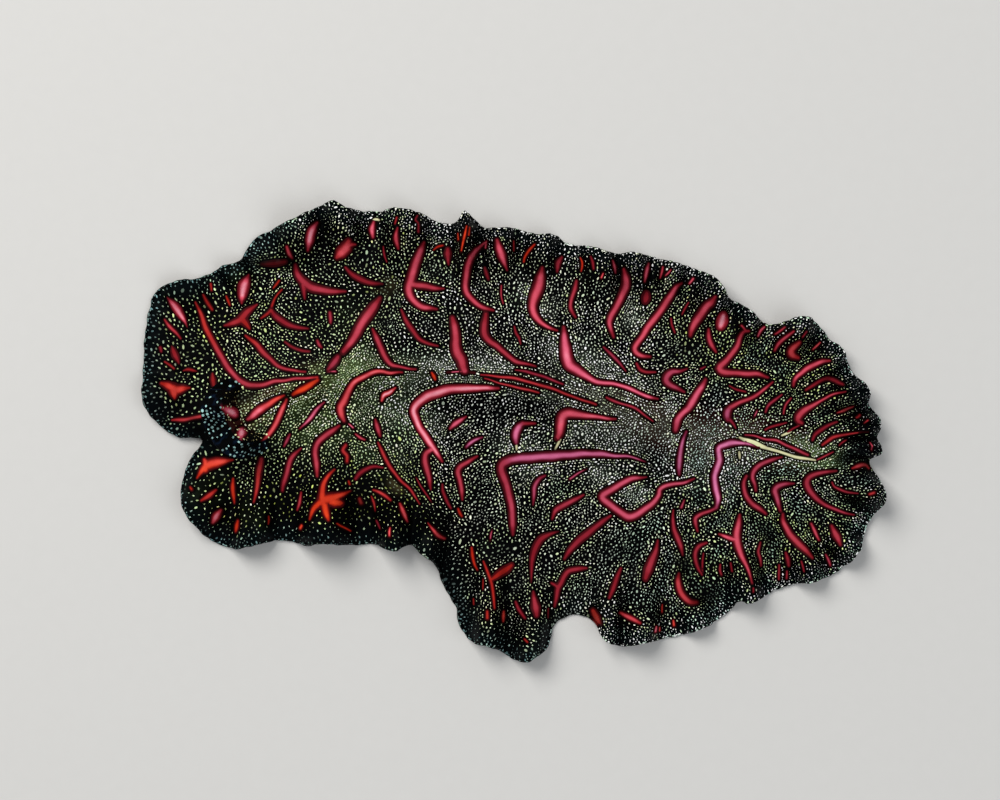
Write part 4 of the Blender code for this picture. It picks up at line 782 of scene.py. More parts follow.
def read_bars(plan):
    """The signed distance of each plan point from the nearest bar's edge, and that bar's marks."""
    flat = plan.reshape(-1, 2)
    count = len(flat)
    marks = {"edge": np.full(count, BAR_REACH), "half": np.full(count, 0.5), "tint": np.zeros(count),
             "brightness": np.zeros(count), "heading": np.zeros(count), "root": flat.copy()}
    weights, tints, brights = np.zeros((3, count))
    for stroke in STROKES:
        low = stroke.points.min(axis=0) - stroke.reach
        high = stroke.points.max(axis=0) + stroke.reach
        near = np.flatnonzero(np.all((flat > low) & (flat < high), axis=1))
        if len(near) == 0:
            continue
        away = np.linalg.norm(flat[near, None, :] - stroke.points[None], axis=2) - stroke.half
        pick = np.argmin(away, axis=1)
        value = away[np.arange(len(near)), pick]
        if stroke.tint < PALE:
            weight = np.exp(-value / TINT_BLEND) * (0.02 + stroke.brightness[pick])
            weights[near] += weight
            tints[near] += weight * stroke.tint
            brights[near] += weight * stroke.brightness[pick]
        closer = value < marks["edge"][near]
        rows, pick = near[closer], pick[closer]
        marks["edge"][rows] = value[closer]
        marks["tint"][rows] = stroke.tint
        for key, values in (("half", stroke.half), ("brightness", stroke.brightness),
                            ("heading", stroke.heading), ("root", stroke.points)):
            marks[key][rows] = values[pick]
    shared = (weights > 0.0) & (marks["tint"] < PALE)
    marks["tint"][shared] = tints[shared] / weights[shared]
    marks["brightness"][shared] = brights[shared] / weights[shared]
    at_front = smooth_step(-10.0, -26.0, flat[:, 0]) * smooth_step(4.0, 8.0, np.abs(flat[:, 1] - 3.0))
    at_left = smooth_step(-11.0, -16.0, flat[:, 1])
    marks["tint"][shared] -= (FRONT_ORANGE * at_front + LEFT_ORANGE * at_left)[shared]
    marks["brightness"] *= 1.0 - LEFT_DIM * at_left
    return marks


def nearness(plan, places):
    """1 in the named places, falling smoothly to 0 around them."""
    total = np.zeros(plan.shape[:-1])
    for start, end, half, *peak in places:
        start, end = np.array(start), np.array(end)
        run = end - start
        share = np.clip(((plan - start) @ run) / (run @ run), 0.0, 1.0)
        away = np.linalg.norm(plan - start - share[..., None] * run, axis=-1)
        total = np.maximum(total, (peak[0] if peak else 1.0) * np.exp(-(away / half) ** 2))
    return total


def lip_ring(step):
    """The outline drawn in by the lip's radius, a little uneven, and its outward directions."""
    points, _ = even_run(smooth_run(MARGIN, closed=True), step, closed=True)
    after = np.roll(points, -1, axis=0)
    ahead = unit(after - np.roll(points, 1, axis=0))
    turns = np.cross(points, after).sum()
    outward = np.stack([ahead[:, 1], -ahead[:, 0]], axis=1) * np.sign(turns)
    uneven = waves(points, LIP_WAVES) - LIP_SET_IN
    return points + outward * (uneven - LIP_RADIUS)[:, None], outward


def lip_lines(ring, outward, top, bottom, levels):
    """A line of points round the lip at each of the levels of its half circle, in degrees."""
    lines = []
    for level in levels:
        angle = math.radians(level)
        plan = ring + outward * LIP_RADIUS * math.cos(angle)
        height = (top + bottom) / 2 + (top - bottom) / 2 * math.sin(angle)
        lines.append(np.column_stack([plan, height]))
    return lines


def points_inside(ring, step, lattice):
    """Points of a triangular lattice inside a ring, shifted a little at random, and their cells."""
    jitter, seed = lattice
    chance = np.random.default_rng(seed)
    low, high = ring.min(axis=0), ring.max(axis=0)
    start, end = ring, np.roll(ring, -1, axis=0)
    rows = []
    for number, level in enumerate(np.arange(low[1], high[1], step * math.sqrt(0.75))):
        crossed = (start[:, 1] > level) != (end[:, 1] > level)
        a, b = start[crossed], end[crossed]
        at = np.sort(a[:, 0] + (level - a[:, 1]) / (b[:, 1] - a[:, 1]) * (b[:, 0] - a[:, 0]))
        across = np.arange(low[0] + (number % 2) * step / 2, high[0], step)
        columns = np.flatnonzero(np.searchsorted(at, across) % 2 == 1)
        one = np.ones(len(columns))
        rows.append(np.column_stack([across[columns], level * one, columns, number * one]))
    found = np.vstack(rows)
    plan = found[:, :2] + chance.uniform(-jitter, jitter, (len(found), 2)) * step
    return plan, found[:, 2:].astype(int)


def wobble(plan):
    """Small irregular shifts that keep the edges of the bars from looking drawn."""
    return WOBBLE * np.stack([wander(plan, WOBBLE_LENGTH, seed) for seed in WOBBLE_SEEDS], axis=-1)


def inside_ring(plan, ring):
    """Which plan points lie inside a ring, by how often a line to the east crosses it."""
    inside = np.zeros(len(plan), dtype=bool)
    for a, b in zip(ring, np.roll(ring, -1, axis=0)):
        level = (a[1] > plan[:, 1]) != (b[1] > plan[:, 1])
        at = a[0] + (plan[level, 1] - a[1]) / (b[1] - a[1]) * (b[0] - a[0])
        inside[np.flatnonzero(level)[at > plan[level, 0]]] ^= True
    return inside


def bar_guides(ring, coarsening):
    """Mesh points along every bar, thinned where bars meet and kept clear of the lip."""
    guides = np.vstack([stroke.guide() for stroke in STROKES])
    guides = guides - wobble(guides)
    field = SpotField(0.2)
    guides = guides[[field.offer(x, y, GUIDE_ROOM * coarsening) for x, y in guides]]
    clear = MARGIN_TRACE.nearest(guides)[0] > LIP_RADIUS + GUIDE_CLEAR
    return guides[inside_ring(guides, ring) & clear]


def fill_ring(ring, inner):
    """Triangles over a ring and the points inside it, as rows of indices into both."""
    count = len(ring)
    points = np.vstack([ring, inner])
    edges = [(k, (k + 1) % count) for k in range(count)]
    places, _, faces, origins, _, _ = delaunay_2d_cdt(
        [tuple(point) for point in points], edges, [list(range(count))], 1, 1e-7)
    if len(places) != len(points):
        raise RuntimeError("the outline of the skin crosses itself")
    order = np.array([origin[0] for origin in origins])
    faces = order[np.array([face for face in faces if len(face) == 3])]
    a, b, c = points[faces].transpose(1, 0, 2)
    turn = np.cross(b - a, c - a)
    faces[turn < 0] = faces[turn < 0][:, ::-1]
    return faces


def make_mesh(name, places, faces, unwrap, fields, finish):
    """A joined mesh in metres, with its unwrap by corner and its named values by point."""
    mesh = bpy.data.meshes.new(name)
    mesh.from_pydata((places * MM).tolist(), [], faces.tolist())
    layer = mesh.uv_layers.new(name=BAKE_MAP)
    layer.uv.foreach_set("vector", np.ascontiguousarray(unwrap, dtype=np.float32).ravel())
    for key, values in fields.items():
        values = np.asarray(values, dtype=np.float32)
        kind, slot = ("FLOAT_COLOR", "color") if values.ndim == 2 else ("FLOAT", "value")
        attribute = mesh.attributes.new(key, kind, "POINT")
        attribute.data.foreach_set(slot, values.ravel())
    mesh.shade_smooth()
    mesh.materials.append(finish)
    piece = bpy.data.objects.new(name, mesh)
    bpy.context.scene.collection.objects.link(piece)
    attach(piece, "root")
    return piece


def on_island(plan, island):
    """Where a plan place lies on the unwrap, on the island of the back or of the under side."""
    u, v, scale = island
    return np.array([u, v]) + plan / UNWRAP_WIDTH * scale


def unwrap_ear(turn, share):
    """Where a place on the pseudotentacles lies: turn 0 to 1 across both ears, share foot to lip."""
    u, v, width, height = EAR_ISLAND
    return np.stack([u + turn * width, v + share * height], axis=-1)


# Marks of the under side: the place along the midline, the half length, the half width and the depth
UNDER_PITS = [(0.17, 1.3, 0.32, 0.28), (0.285, 0.30, 0.30, 0.20), (0.325, 0.30, 0.30, 0.20),
              (0.385, 0.26, 0.26, 0.18)]
SUCKER_SHARE, SUCKER_RADIUS, SUCKER_RIM, SUCKER_DEPTH = 0.50, 0.75, 0.22, 0.22


def under_pits(plan):
    """How deep the mouth, the pores and the ring of the sucker go into the under side."""
    depth = np.zeros(plan.shape[:-1])
    run = MIDLINE_TRACE.points
    for share, length, width, deepest in UNDER_PITS:
        index = int(share * (len(run) - 1))
        ahead = unit(run[index + 3] - run[index - 3])
        offset = plan - run[index]
        along = offset @ ahead
        across = offset[..., 0] * ahead[1] - offset[..., 1] * ahead[0]
        depth = np.maximum(depth, deepest * np.exp(-((along / length) ** 2 + (across / width) ** 2) * 1.5))
    away = np.linalg.norm(plan - run[int(SUCKER_SHARE * (len(run) - 1))], axis=-1)
    ring = SUCKER_DEPTH * np.exp(-((away - SUCKER_RADIUS) / SUCKER_RIM) ** 2)
    return np.maximum(depth, ring)


def make_skin(sizes, finish):
    """The closed skin: the back, the lip round the margin and the under side."""
    coarsening = 1.0
    step = OPEN_STEP * coarsening
    ring, outward = lip_ring(RIM_STEP * coarsening)
    plan, _ = points_inside(ring, step, BACK_LATTICE)
    clear = MARGIN_TRACE.nearest(plan)[0] > LIP_RADIUS + 0.4 * step
    open_skin = read_bars(plan + wobble(plan))["edge"] > CLEAR_OF_BARS
    back_inner = np.vstack([bar_guides(ring, coarsening), plan[open_skin & clear]])
    back_faces = fill_ring(ring, back_inner)
    back = np.vstack([ring, back_inner])

    plan, cells = points_inside(ring, UNDER_STEP * coarsening / 3, UNDER_LATTICE)
    wanted = np.all(cells % 3 == 0, axis=1) | (under_pits(plan) > 0.015)
    under_inner = plan[wanted & (MARGIN_TRACE.nearest(plan)[0] > LIP_RADIUS + UNDER_CLEAR)]
    under_faces = fill_ring(ring, under_inner)[:, ::-1]
    under = np.vstack([ring, under_inner])

    surface = skin_faces(back, sizes)
    marks = read_bars(back + wobble(back))
    relief = sizes.bar_relief / MM * smooth_step(RIM_REACH, -0.20, marks["edge"])
    back_height = surface["upper"] + relief
    beneath = skin_faces(under, sizes)
    under_height = beneath["lower"] + under_pits(under)

    count, lips = len(ring), len(LIP_LEVELS)
    lines = lip_lines(ring, outward, back_height[:count], under_height[:count], LIP_LEVELS)
    places = np.vstack([np.column_stack([back, back_height]), *lines,
                        np.column_stack([under, under_height])])
    starts = [0] + [len(back) + count * number for number in range(lips + 1)]
    here = np.arange(count)
    after = (here + 1) % count
    lip_rows = []
    for upper, lower in zip(starts, starts[1:]):
        lip_rows.append(np.column_stack([upper + here, lower + here, lower + after]))
        lip_rows.append(np.column_stack([upper + here, lower + after, upper + after]))
    lip_faces = np.vstack(lip_rows)
    faces = np.vstack([back_faces, lip_faces, under_faces + starts[-1]])

    unrolled = [ring + outward * LIP_UNROLLED * number for number in range(1, lips + 2)]
    on_back = on_island(np.vstack([back, *unrolled]), BACK_ISLAND)
    corners = np.concatenate([on_back[back_faces], on_back[lip_faces],
                              on_island(under, UNDER_ISLAND)[under_faces]]).reshape(-1, 2)

    def over_skin(above, below):
        """Values of the back, the same carried down the lip, and then those of the under side."""
        return np.concatenate([above] + [above[:count]] * lips + [np.broadcast_to(below, len(under))])

    bare = np.zeros(len(back))
    fields = {
        "bar_edge": over_skin(marks["edge"], BAR_REACH),
        "bar_depth": over_skin(1.0 + marks["edge"] / marks["half"], 1.0),
        "bar_tint": over_skin(marks["tint"], 0.0),
        "bar_bright": over_skin(marks["brightness"], 0.0),
        "from_margin": over_skin(surface["from_margin"], beneath["from_margin"]),
        "from_midline": over_skin(surface["from_midline"], beneath["from_midline"]),
        "along": over_skin(surface["share"], beneath["share"]),
        # deep: painted shade, which turns the skin black deep between folds
        "deep": over_skin(nearness(back, PAINTED_SHADE_PLACES), 0.0),
        "bloom": over_skin(nearness(back, PALE_PLACES), 0.0),
        "olive": over_skin(nearness(back, OLIVE_PLACES), 0.0),
        "under": over_skin(bare, 1.0),
        "pit": over_skin(bare, under_pits(under)),
    }
    piece = make_mesh("skin", places, faces, corners, fields, finish)
    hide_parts(*SKIN_NODES)
    return piece


def collar_plan(angle, share):
    """Plan point of the upturned margin: share 0 on its rear foot, 1 on its lip."""
    foot_forward = FOOT_CENTRE + FOOT_FORWARD * np.cos(angle)
    foot_side = FOOT_SIDE * np.sin(angle)
    forward = foot_forward + (LIP_FORWARD * np.cos(angle) - foot_forward) * share
    side = foot_side + (LIP_SIDE * np.sin(angle) - foot_side) * share
    heading = math.radians(COLLAR_HEADING)
    x = COLLAR_CENTRE[0] + forward * math.cos(heading) + side * math.sin(heading)
    y = COLLAR_CENTRE[1] + forward * math.sin(heading) - side * math.cos(heading)
    return np.stack([x, y], axis=-1)


def ear_height(angle, tallest):
    """The crest of the pseudotentacles: an ear on each side and a valley between them."""
    from_heading = np.abs(np.degrees(angle))
    bump = np.exp(-(np.abs(from_heading - EAR_AT) / EAR_SPREAD) ** EAR_ROUNDNESS)
    away = np.clip(from_heading / EAR_SWEEP, 0.0, 1.0)
    low = EAR_VALLEY + (EAR_END - EAR_VALLEY) * away
    return low + (tallest - low) * bump


def ear_angle(turn):
    """The heading of a place on the upturned margin, for turn 0 to 1 across both ears."""
    return np.radians((turn * 2.0 - 1.0) * EAR_SWEEP)


def ear_ends(angle):
    """1 along the upturned margin, falling to 0 at its two ends."""
    return smooth_step(EAR_SWEEP, EAR_SWEEP - EAR_END_RUN, np.abs(np.degrees(angle)))


def ear_back(angle, share, sizes):
    """Places on the upper face of the upturned margin, from its foot on the head to its lip."""
    plan = collar_plan(angle, share)
    floor = skin_faces(plan, sizes)["upper"]
    level = skin_faces(collar_plan(angle, share * 0.0), sizes)["upper"]
    reach = 1.0 - smooth_step(0.0, 1.0, share)
    rise = smooth_step(0.0, CREST_PLACE, share)
    fall = 1.0 - (1.0 - EAR_LIP_SHARE) * smooth_step(CREST_PLACE, 1.0, share)
    height = (EAR_FOOT + ear_height(angle, sizes.ear_height / MM)) * ear_ends(angle)
    ripples = 0.05 * wander(plan * 1.3, 1.5, 51) * rise
    top = level * (1.0 - reach) + floor * reach - EAR_SINK + (height * fall + ripples) * rise
    return np.concatenate([plan, top[..., None]], axis=-1)


def make_pseudotentacles(sizes, finish):
    """The two ear-like folds of the front margin, as one upturned sheet with a hollow under it."""
    turn = np.linspace(0.0, 1.0, EAR_COLUMNS + 1)
    angle_line = ear_angle(turn)
    angle, share = np.meshgrid(angle_line, np.linspace(0.0, 1.0, EAR_ROWS + 1), indexing="ij")
    upper = ear_back(angle, share, sizes)
    lip = upper[:, -1]
    outward = unit(lip[:, :2] - upper[:, -2, :2])
    ends = ear_ends(angle_line)
    thickness = EAR_EDGE_THICKNESS * (0.3 + 0.7 * ends)
    lip_rows = []
    for number in range(1, EAR_LIP_ROWS):
        bend = math.pi * number / EAR_LIP_ROWS
        plan = lip[:, :2] + outward * (EAR_EDGE_BULGE * math.sin(bend) * (0.2 + 0.8 * ends))[:, None]
        height = lip[:, 2] - thickness * (1.0 - math.cos(bend)) / 2
        lip_rows.append(np.column_stack([plan, height]))
    angle, back = np.meshgrid(angle_line, np.linspace(1.0, 0.0, EAR_UNDER_ROWS + 1), indexing="ij")
    plan = collar_plan(angle, HOLLOW_FROM + (1.0 - HOLLOW_FROM) * back)
    rise = back ** 0.8
    height = ((skin_faces(plan, sizes)["upper"] - EAR_SINK) * (1.0 - rise)
              + (lip[:, 2] - thickness)[:, None] * rise)
    lower = np.concatenate([plan, height[..., None]], axis=-1)
    grid = np.concatenate([upper, np.stack(lip_rows, axis=1), lower], axis=1)
    places = grid.reshape(-1, 3)
    index = np.arange(len(places)).reshape(grid.shape[:2])
    a, b, c, d = [part.ravel() for part in (index[:-1, :-1], index[1:, :-1], index[1:, 1:], index[:-1, 1:])]
    faces = np.vstack([np.column_stack([a, b, c]), np.column_stack([a, c, d])])
    across, down = np.meshgrid(turn, np.linspace(0.0, 1.0, grid.shape[1]), indexing="ij")
    corners = unwrap_ear(across, down).reshape(-1, 2)[faces].reshape(-1, 2)
    lip_share, hidden = np.ones(grid.shape[:2]), np.ones(grid.shape[:2])
    lip_share[:, :EAR_ROWS + 1] = share
    hidden[:, :EAR_ROWS + 1] = 0.0
    lip_share, hidden = lip_share.ravel(), hidden.ravel()
    marks = read_bars(places[:, :2])
    surface = skin_faces(places[:, :2], sizes)
    fields = {
        "bar_edge": np.where(hidden > 0.5, BAR_REACH, marks["edge"]),
        "bar_depth": 1.0 + marks["edge"] / marks["half"],
        "bar_tint": marks["tint"],
        "bar_bright": marks["brightness"],
        "from_margin": np.clip((1.0 - lip_share) * 3.0, 0.05, 9.0),
        "from_midline": surface["from_midline"],
        "along": surface["share"],
        # deep: painted shade, which half darkens the under face of the upturned sheet
        "deep": hidden * 0.5,
        **dict.fromkeys(("bloom", "olive", "under", "pit"), np.zeros(len(places))),
        "ear": smooth_step(*EAR_BAND, lip_share),
    }
    piece = make_mesh("pseudotentacles", places, faces, corners, fields, finish)
    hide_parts(*EAR_NODES)
    return piece


class SpotField:
    """Spots that keep their distance from each other, found through a grid of cells."""

    def __init__(self, cell):
        self.cell = cell
        self.cells = {}

    def offer(self, x, y, room):
        """Take a spot in if its room is free, and tell whether it was."""
        column, row = int(x // self.cell), int(y // self.cell)
        span = int(room // self.cell) + 1
        for i in range(column - span, column + span + 1):
            for j in range(row - span, row + span + 1):
                for other_x, other_y, other_room in self.cells.get((i, j), ()):
                    apart = (room + other_room) / 2
                    if (x - other_x) ** 2 + (y - other_y) ** 2 < apart * apart:
                        return False
        self.cells.setdefault((column, row), []).append((x, y, room))
        return True


def dome_mesh(name, laid, length, width, lift, colour, unwrap, finish):
    """Small domes, each a fan of triangles round a raised middle, joined in one mesh."""
    centre, ahead, side, normal = laid
    count = len(centre)
    turns = np.linspace(0.0, math.tau, DOME_SIDES, endpoint=False)
    circle = np.column_stack([np.cos(turns), np.sin(turns)])
    rim = (ahead[:, None] * circle[:, :1] * length[:, None, None] / 2
           + side[:, None] * circle[:, 1:] * width[:, None, None] / 2)
    low, high = centre + normal * DOME_FOOT, centre + normal * lift
    places = np.concatenate([high[:, None], low[:, None] + rim], axis=1).reshape(-1, 3)
    here = np.arange(DOME_SIDES)
    fan = np.column_stack([here * 0, here + 1, (here + 1) % DOME_SIDES + 1])
    faces = (np.arange(count)[:, None, None] * (DOME_SIDES + 1) + fan).reshape(-1, 3)
    patch = np.vstack([np.zeros(2), circle * PATCH])
    corners = (unwrap[:, None] + patch).reshape(-1, 2)[faces].reshape(-1, 2)
    tints = np.column_stack([colour, np.ones(count)]).repeat(DOME_SIDES + 1, axis=0)
    return make_mesh(name, places, faces, corners, {"spot_colour": tints}, finish)


def on_slope(direction, slope):
    """A plan direction laid on the surface, as a unit vector in space."""
    rise = np.sum(direction * slope, axis=-1, keepdims=True)
    return unit(np.concatenate([direction, rise], axis=-1))


def shade_of_front(plan):
    """1 on the lobes and the left flank, where the margin is dim and bluish, and 0 elsewhere."""
    return smooth_step(-14.0, -30.0, plan[:, 0] + 1.5 * np.minimum(plan[:, 1] + 4.0, 0.0))


def settings_of(plan, from_margin):
    """What kind of place each plan point is, in shares from 0 to 1."""
    settings = {
        "from_margin": from_margin,
        "lobe": smooth_step(-27.0, -31.0, plan[:, 0] + 0.25 * np.abs(plan[:, 1] - 2.0)),
        "outer": smooth_step(6.0, 1.5, from_margin),
    }
    for key, places in (("bloom", PALE_PLACES), ("quiet", QUIET_PLACES), ("sparse", SPARSE_PLACES),
                        ("yellow", YELLOW_PLACES), ("deep", PAINTED_SHADE_PLACES)):
        settings[key] = nearness(plan, places)
    return settings


def line_up(plan, chance):
    """Plan points moved onto rows where they are close to a bar, and which of them are."""
    marks = read_bars(plan)
    beside = (marks["edge"] > -0.1) & (marks["edge"] < LAST_ROW)
    away = plan - marks["root"]
    reach = np.linalg.norm(away, axis=1, keepdims=True)
    rows = np.maximum(np.round((marks["edge"] - FIRST_ROW) / ROW_STEP), 0.0)
    target = FIRST_ROW + rows * ROW_STEP
    snapped = marks["root"] + away / np.maximum(reach, 1e-6) * (marks["half"] + target)[:, None]
    snapped += chance.normal(0.0, 0.02, snapped.shape)
    return np.where(beside[:, None], snapped, plan), beside


def room_for(plan, edge, spots, spread, growth):
    """The room that each spot keeps to the next: less in the rows, more where spots are far apart."""
    from_midline = MIDLINE_TRACE.nearest(plan)[0]
    near_keel = np.exp(-(from_midline / 1.8) ** 2)
    at_head = smooth_step(-17.0, -21.0, plan[:, 0]) * smooth_step(10.0, 7.0, from_midline)
    at_tail = smooth_step(21.0, 28.0, plan[:, 0])
    room = (0.92 + (0.20 * shade_of_front(plan) - 0.04) * spots["outer"] + 0.42 * spots["lobe"]
            - 0.22 * spots["bloom"] + 0.16 * spots["quiet"] + 0.80 * spots["sparse"] - 0.14 * near_keel
            + 0.10 * at_head - 0.10 * at_tail)
    room = spread * room * (1.0 + 0.16 * wander(plan, 3.5, 63)) * growth
    row_room = 0.27 + 0.05 * spots["outer"] + 0.09 * spots["lobe"] + 0.20 * spots["sparse"]
    row_room = row_room * np.clip(growth, 0.85, 1.3)
    return np.where(edge < 0.70, np.minimum(room, row_room), room)


def lay_out_spots(sizes, chance):
    """Places, headings and room of the spots on the back: rows beside bars, then an even scatter."""
    spread = sizes.spot_spacing / MM * 1.0
    ring, _ = lip_ring(RIM_STEP)
    plan, _ = points_inside(ring, spread * 0.36, SPOT_LATTICE)
    plan, beside = line_up(plan, chance)
    marks = read_bars(plan)
    from_margin, _, at_margin = MARGIN_TRACE.nearest(plan)
    open_skin = (marks["edge"] > 0.16) & (from_margin > 0.3)
    plan, at_margin, beside = plan[open_skin], at_margin[open_skin], beside[open_skin]
    edge, bar_heading = marks["edge"][open_skin], marks["heading"][open_skin]
    spots = settings_of(plan, from_margin[open_skin])
    growth = np.clip(np.exp(chance.normal(0.0, 0.30, len(plan))), 0.62, 1.8)
    room = room_for(plan, edge, spots, spread, growth)
    order = np.argsort(np.where(beside, 0.0, 1.0) + chance.uniform(0.0, 1.0, len(plan)) * 0.9)
    field = SpotField(0.3)
    kept = [k for k in order if field.offer(*plan[k], room[k])]
    spots = {key: values[kept] for key, values in spots.items()}
    to_margin = at_margin[kept] - plan[kept]
    radial = np.arctan2(to_margin[:, 1], to_margin[:, 0])
    heading = np.where(edge[kept] < LAST_ROW, bar_heading[kept], radial)
    heading = heading + chance.normal(0.0, 0.35, len(kept))
    spots.update(plan=plan[kept], edge=edge[kept], room=room[kept], growth=growth[kept], heading=heading)
    return spots


def lay_on_back(spots, sizes):
    """The middle of each spot on the back, and its directions along, across and up."""
    plan, reach = spots["plan"], 0.03
    height, east, north = [skin_faces(plan + np.array(shift), sizes)["upper"]
                           for shift in ((0.0, 0.0), (reach, 0.0), (0.0, reach))]
    slope = np.stack([(east - height) / reach, (north - height) / reach], axis=-1)
    normal = unit(np.column_stack([-slope, np.ones(len(plan))]))
    along, across = turned(spots["heading"])
    centre = np.column_stack([plan, height]) + normal * 0.008
    return np.stack([centre, on_slope(along, slope), on_slope(across, slope), normal])


def lay_on_lip(sizes, chance):
    """Spots on the two upper facets of the rounded lip, and their middles and directions."""
    ring, outward = lip_ring(RIM_STEP)
    surface = skin_faces(ring, sizes)
    lines = lip_lines(ring, outward, surface["upper"], surface["lower"], (90.0, *LIP_LEVELS[:2]))
    laid = []
    for upper, lower in zip(lines, lines[1:]):
        pick = np.cumsum(chance.integers(1, 5, len(ring)))
        pick = pick[pick < len(ring) - 1]
        down = lower[pick] - upper[pick]
        centre = upper[pick] + down * chance.uniform(0.35, 0.65, (len(pick), 1))
        along = upper[pick + 1] - upper[pick]
        normal = np.cross(along, down)
        normal *= np.sign(normal[:, 2:])
        laid.append(np.stack([centre, unit(along), unit(down), unit(normal)]))
    laid = np.concatenate(laid, axis=1)
    plan = laid[0, :, :2].copy()
    laid[0] += laid[3] * 0.01
    edge = read_bars(plan)["edge"]
    free = edge > 0.12
    spots = settings_of(plan[free], np.full(free.sum(), 0.1))
    growth = chance.uniform(0.8, 1.2, free.sum())
    spots.update(plan=plan[free], edge=edge[free], room=0.38 * growth, growth=growth)
    return spots, laid[:, free]


def blend(share, first, second):
    """A mix of two colours at each point, from the first at 0 to the second at 1."""
    share = np.clip(share, 0.0, 1.0)[:, None]
    return first * (1.0 - share) + second * share


def spot_light(spots, beside, shaded, from_midline, chance):
    """How bright each spot is, from its place and by chance, with painted shade deep between folds and
    painted light at the margin.
    """
    plan = spots["plan"]
    light = 0.38 + 1.20 * chance.uniform(0.0, 1.0, len(plan)) ** 1.1
    light = light * (0.80 + 0.32 * beside) * (1.0 + 0.40 * spots["bloom"]) * (1.0 - 0.15 * spots["lobe"])
    # Painted shade: spots deep between folds are dimmed
    light = light * (1.0 - 0.85 * spots["deep"]) * (1.0 - 0.68 * spots["quiet"] * (1.0 - 0.4 * beside))
    rear_crest = smooth_step(15.0, 20.0, plan[:, 0]) * np.exp(-(from_midline / 4.5) ** 2)
    light = light * (1.0 + 0.16 * rear_crest)
    # Painted light: spots near the margin are brightened where the steep margin gets little lamp light, and
    # dimmed as painted shade on the shaded front
    painted_margin_light = smooth_step(3.0, 0.5, spots["from_margin"])
    light = light * (1.0 + painted_margin_light * (1.25 - 1.55 * shaded))
    patches = 0.96 + 0.16 * wander(plan, 5.0, 72)
    return light * np.clip(patches, 0.5, 1.3)


def spot_colours(spots, tones, chance):
    """The tint of each spot, from where it lies on the back."""
    plan = spots["plan"]
    count = len(plan)
    tint = {name: np.array(getattr(tones, "spot_" + name))
            for name in ("cream", "green", "white", "blue", "yellow", "lime")}
    from_midline = MIDLINE_TRACE.nearest(plan)[0]
    front = smooth_step(-9.0, -19.0, plan[:, 0]) * smooth_step(10.0, 4.0, from_midline)
    middle = smooth_step(-12.0, -6.0, plan[:, 0]) * smooth_step(20.0, 14.0, plan[:, 0])
    rear = smooth_step(22.0, 30.0, plan[:, 0])
    whitish = 0.35 + 0.40 * np.exp(-(from_midline / 9.0) ** 2) + 0.25 * wander(plan, 6.0, 71)
    colour = blend(whitish + 0.35 * middle - 0.45 * front - 0.35 * rear, tint["green"], tint["white"])
    colour = blend(0.75 * front * chance.uniform(0.3, 1.0, count), colour, tint["lime"])
    high = smooth_step(0.8, 3.4, fold_height(plan)) * smooth_step(3.0, 7.0, from_midline)
    colour = blend(high * chance.uniform(0.4, 0.8, count), colour, tint["cream"])
    far = smooth_step(3.0, 9.0, from_midline)
    yellowish = 0.85 * spots["yellow"] + 0.55 * far * smooth_step(0.95, 1.45, spots["growth"])
    yellowish = (yellowish + 0.30 * far) * (1.0 - 0.6 * middle) * chance.uniform(0.1, 1.0, count)
    colour = blend(yellowish * smooth_step(0.3, 2.5, spots["from_margin"]), colour, tint["yellow"])
    shaded = shade_of_front(plan)
    bluish = smooth_step(3.0, 0.5, spots["from_margin"]) * (0.12 + 0.88 * shaded)
    colour = blend(bluish * chance.uniform(0.5, 1.0, count), colour, tint["blue"])
    beside = np.exp(-((spots["edge"] - 0.34) / 0.45) ** 2)
    between = (1.0 - beside) * smooth_step(10.0, 24.0, plan[:, 0] - 0.4 * plan[:, 1])
    colour = blend(0.40 * between, colour, tint["blue"])
    colour = blend(0.75 * beside * chance.uniform(0.2, 1.0, count), colour, tint["lime"])
    light = spot_light(spots, beside, shaded, from_midline, chance)
    return np.minimum(colour * light[:, None], 0.95)


def make_spots(sizes, tones, finish):
    """The pale spots of the back, lying along the bars and along the rays of the margin."""
    chance = np.random.default_rng(SPOT_SEED)
    spots = lay_out_spots(sizes, chance)
    laid = lay_on_back(spots, sizes)
    del spots["heading"]
    on_lip, laid_on_lip = lay_on_lip(sizes, chance)
    spots = {key: np.concatenate([values, on_lip[key]]) for key, values in spots.items()}
    laid = np.concatenate([laid, laid_on_lip], axis=1)
    count = len(spots["room"])
    packed = sizes.spot_size / sizes.spot_spacing * (1.0 + 0.34 * spots["bloom"])
    packed = packed * (0.98 - 0.02 * spots["lobe"] - 0.06 * spots["outer"]) / (1.0 + 0.75 * spots["sparse"])
    width = spots["room"] * packed * chance.uniform(0.75, 1.2, count)
    length = width * (1.3 + np.abs(chance.normal(0.30, 0.50, count)))
    length = np.minimum(length, spots["room"] * 1.05)
    colour = spot_colours(spots, tones, chance)
    piece = dome_mesh("spots_on_back", laid, length, width, SPOT_LIFT, colour,
                      on_island(spots["plan"], BACK_ISLAND), finish)
    return piece


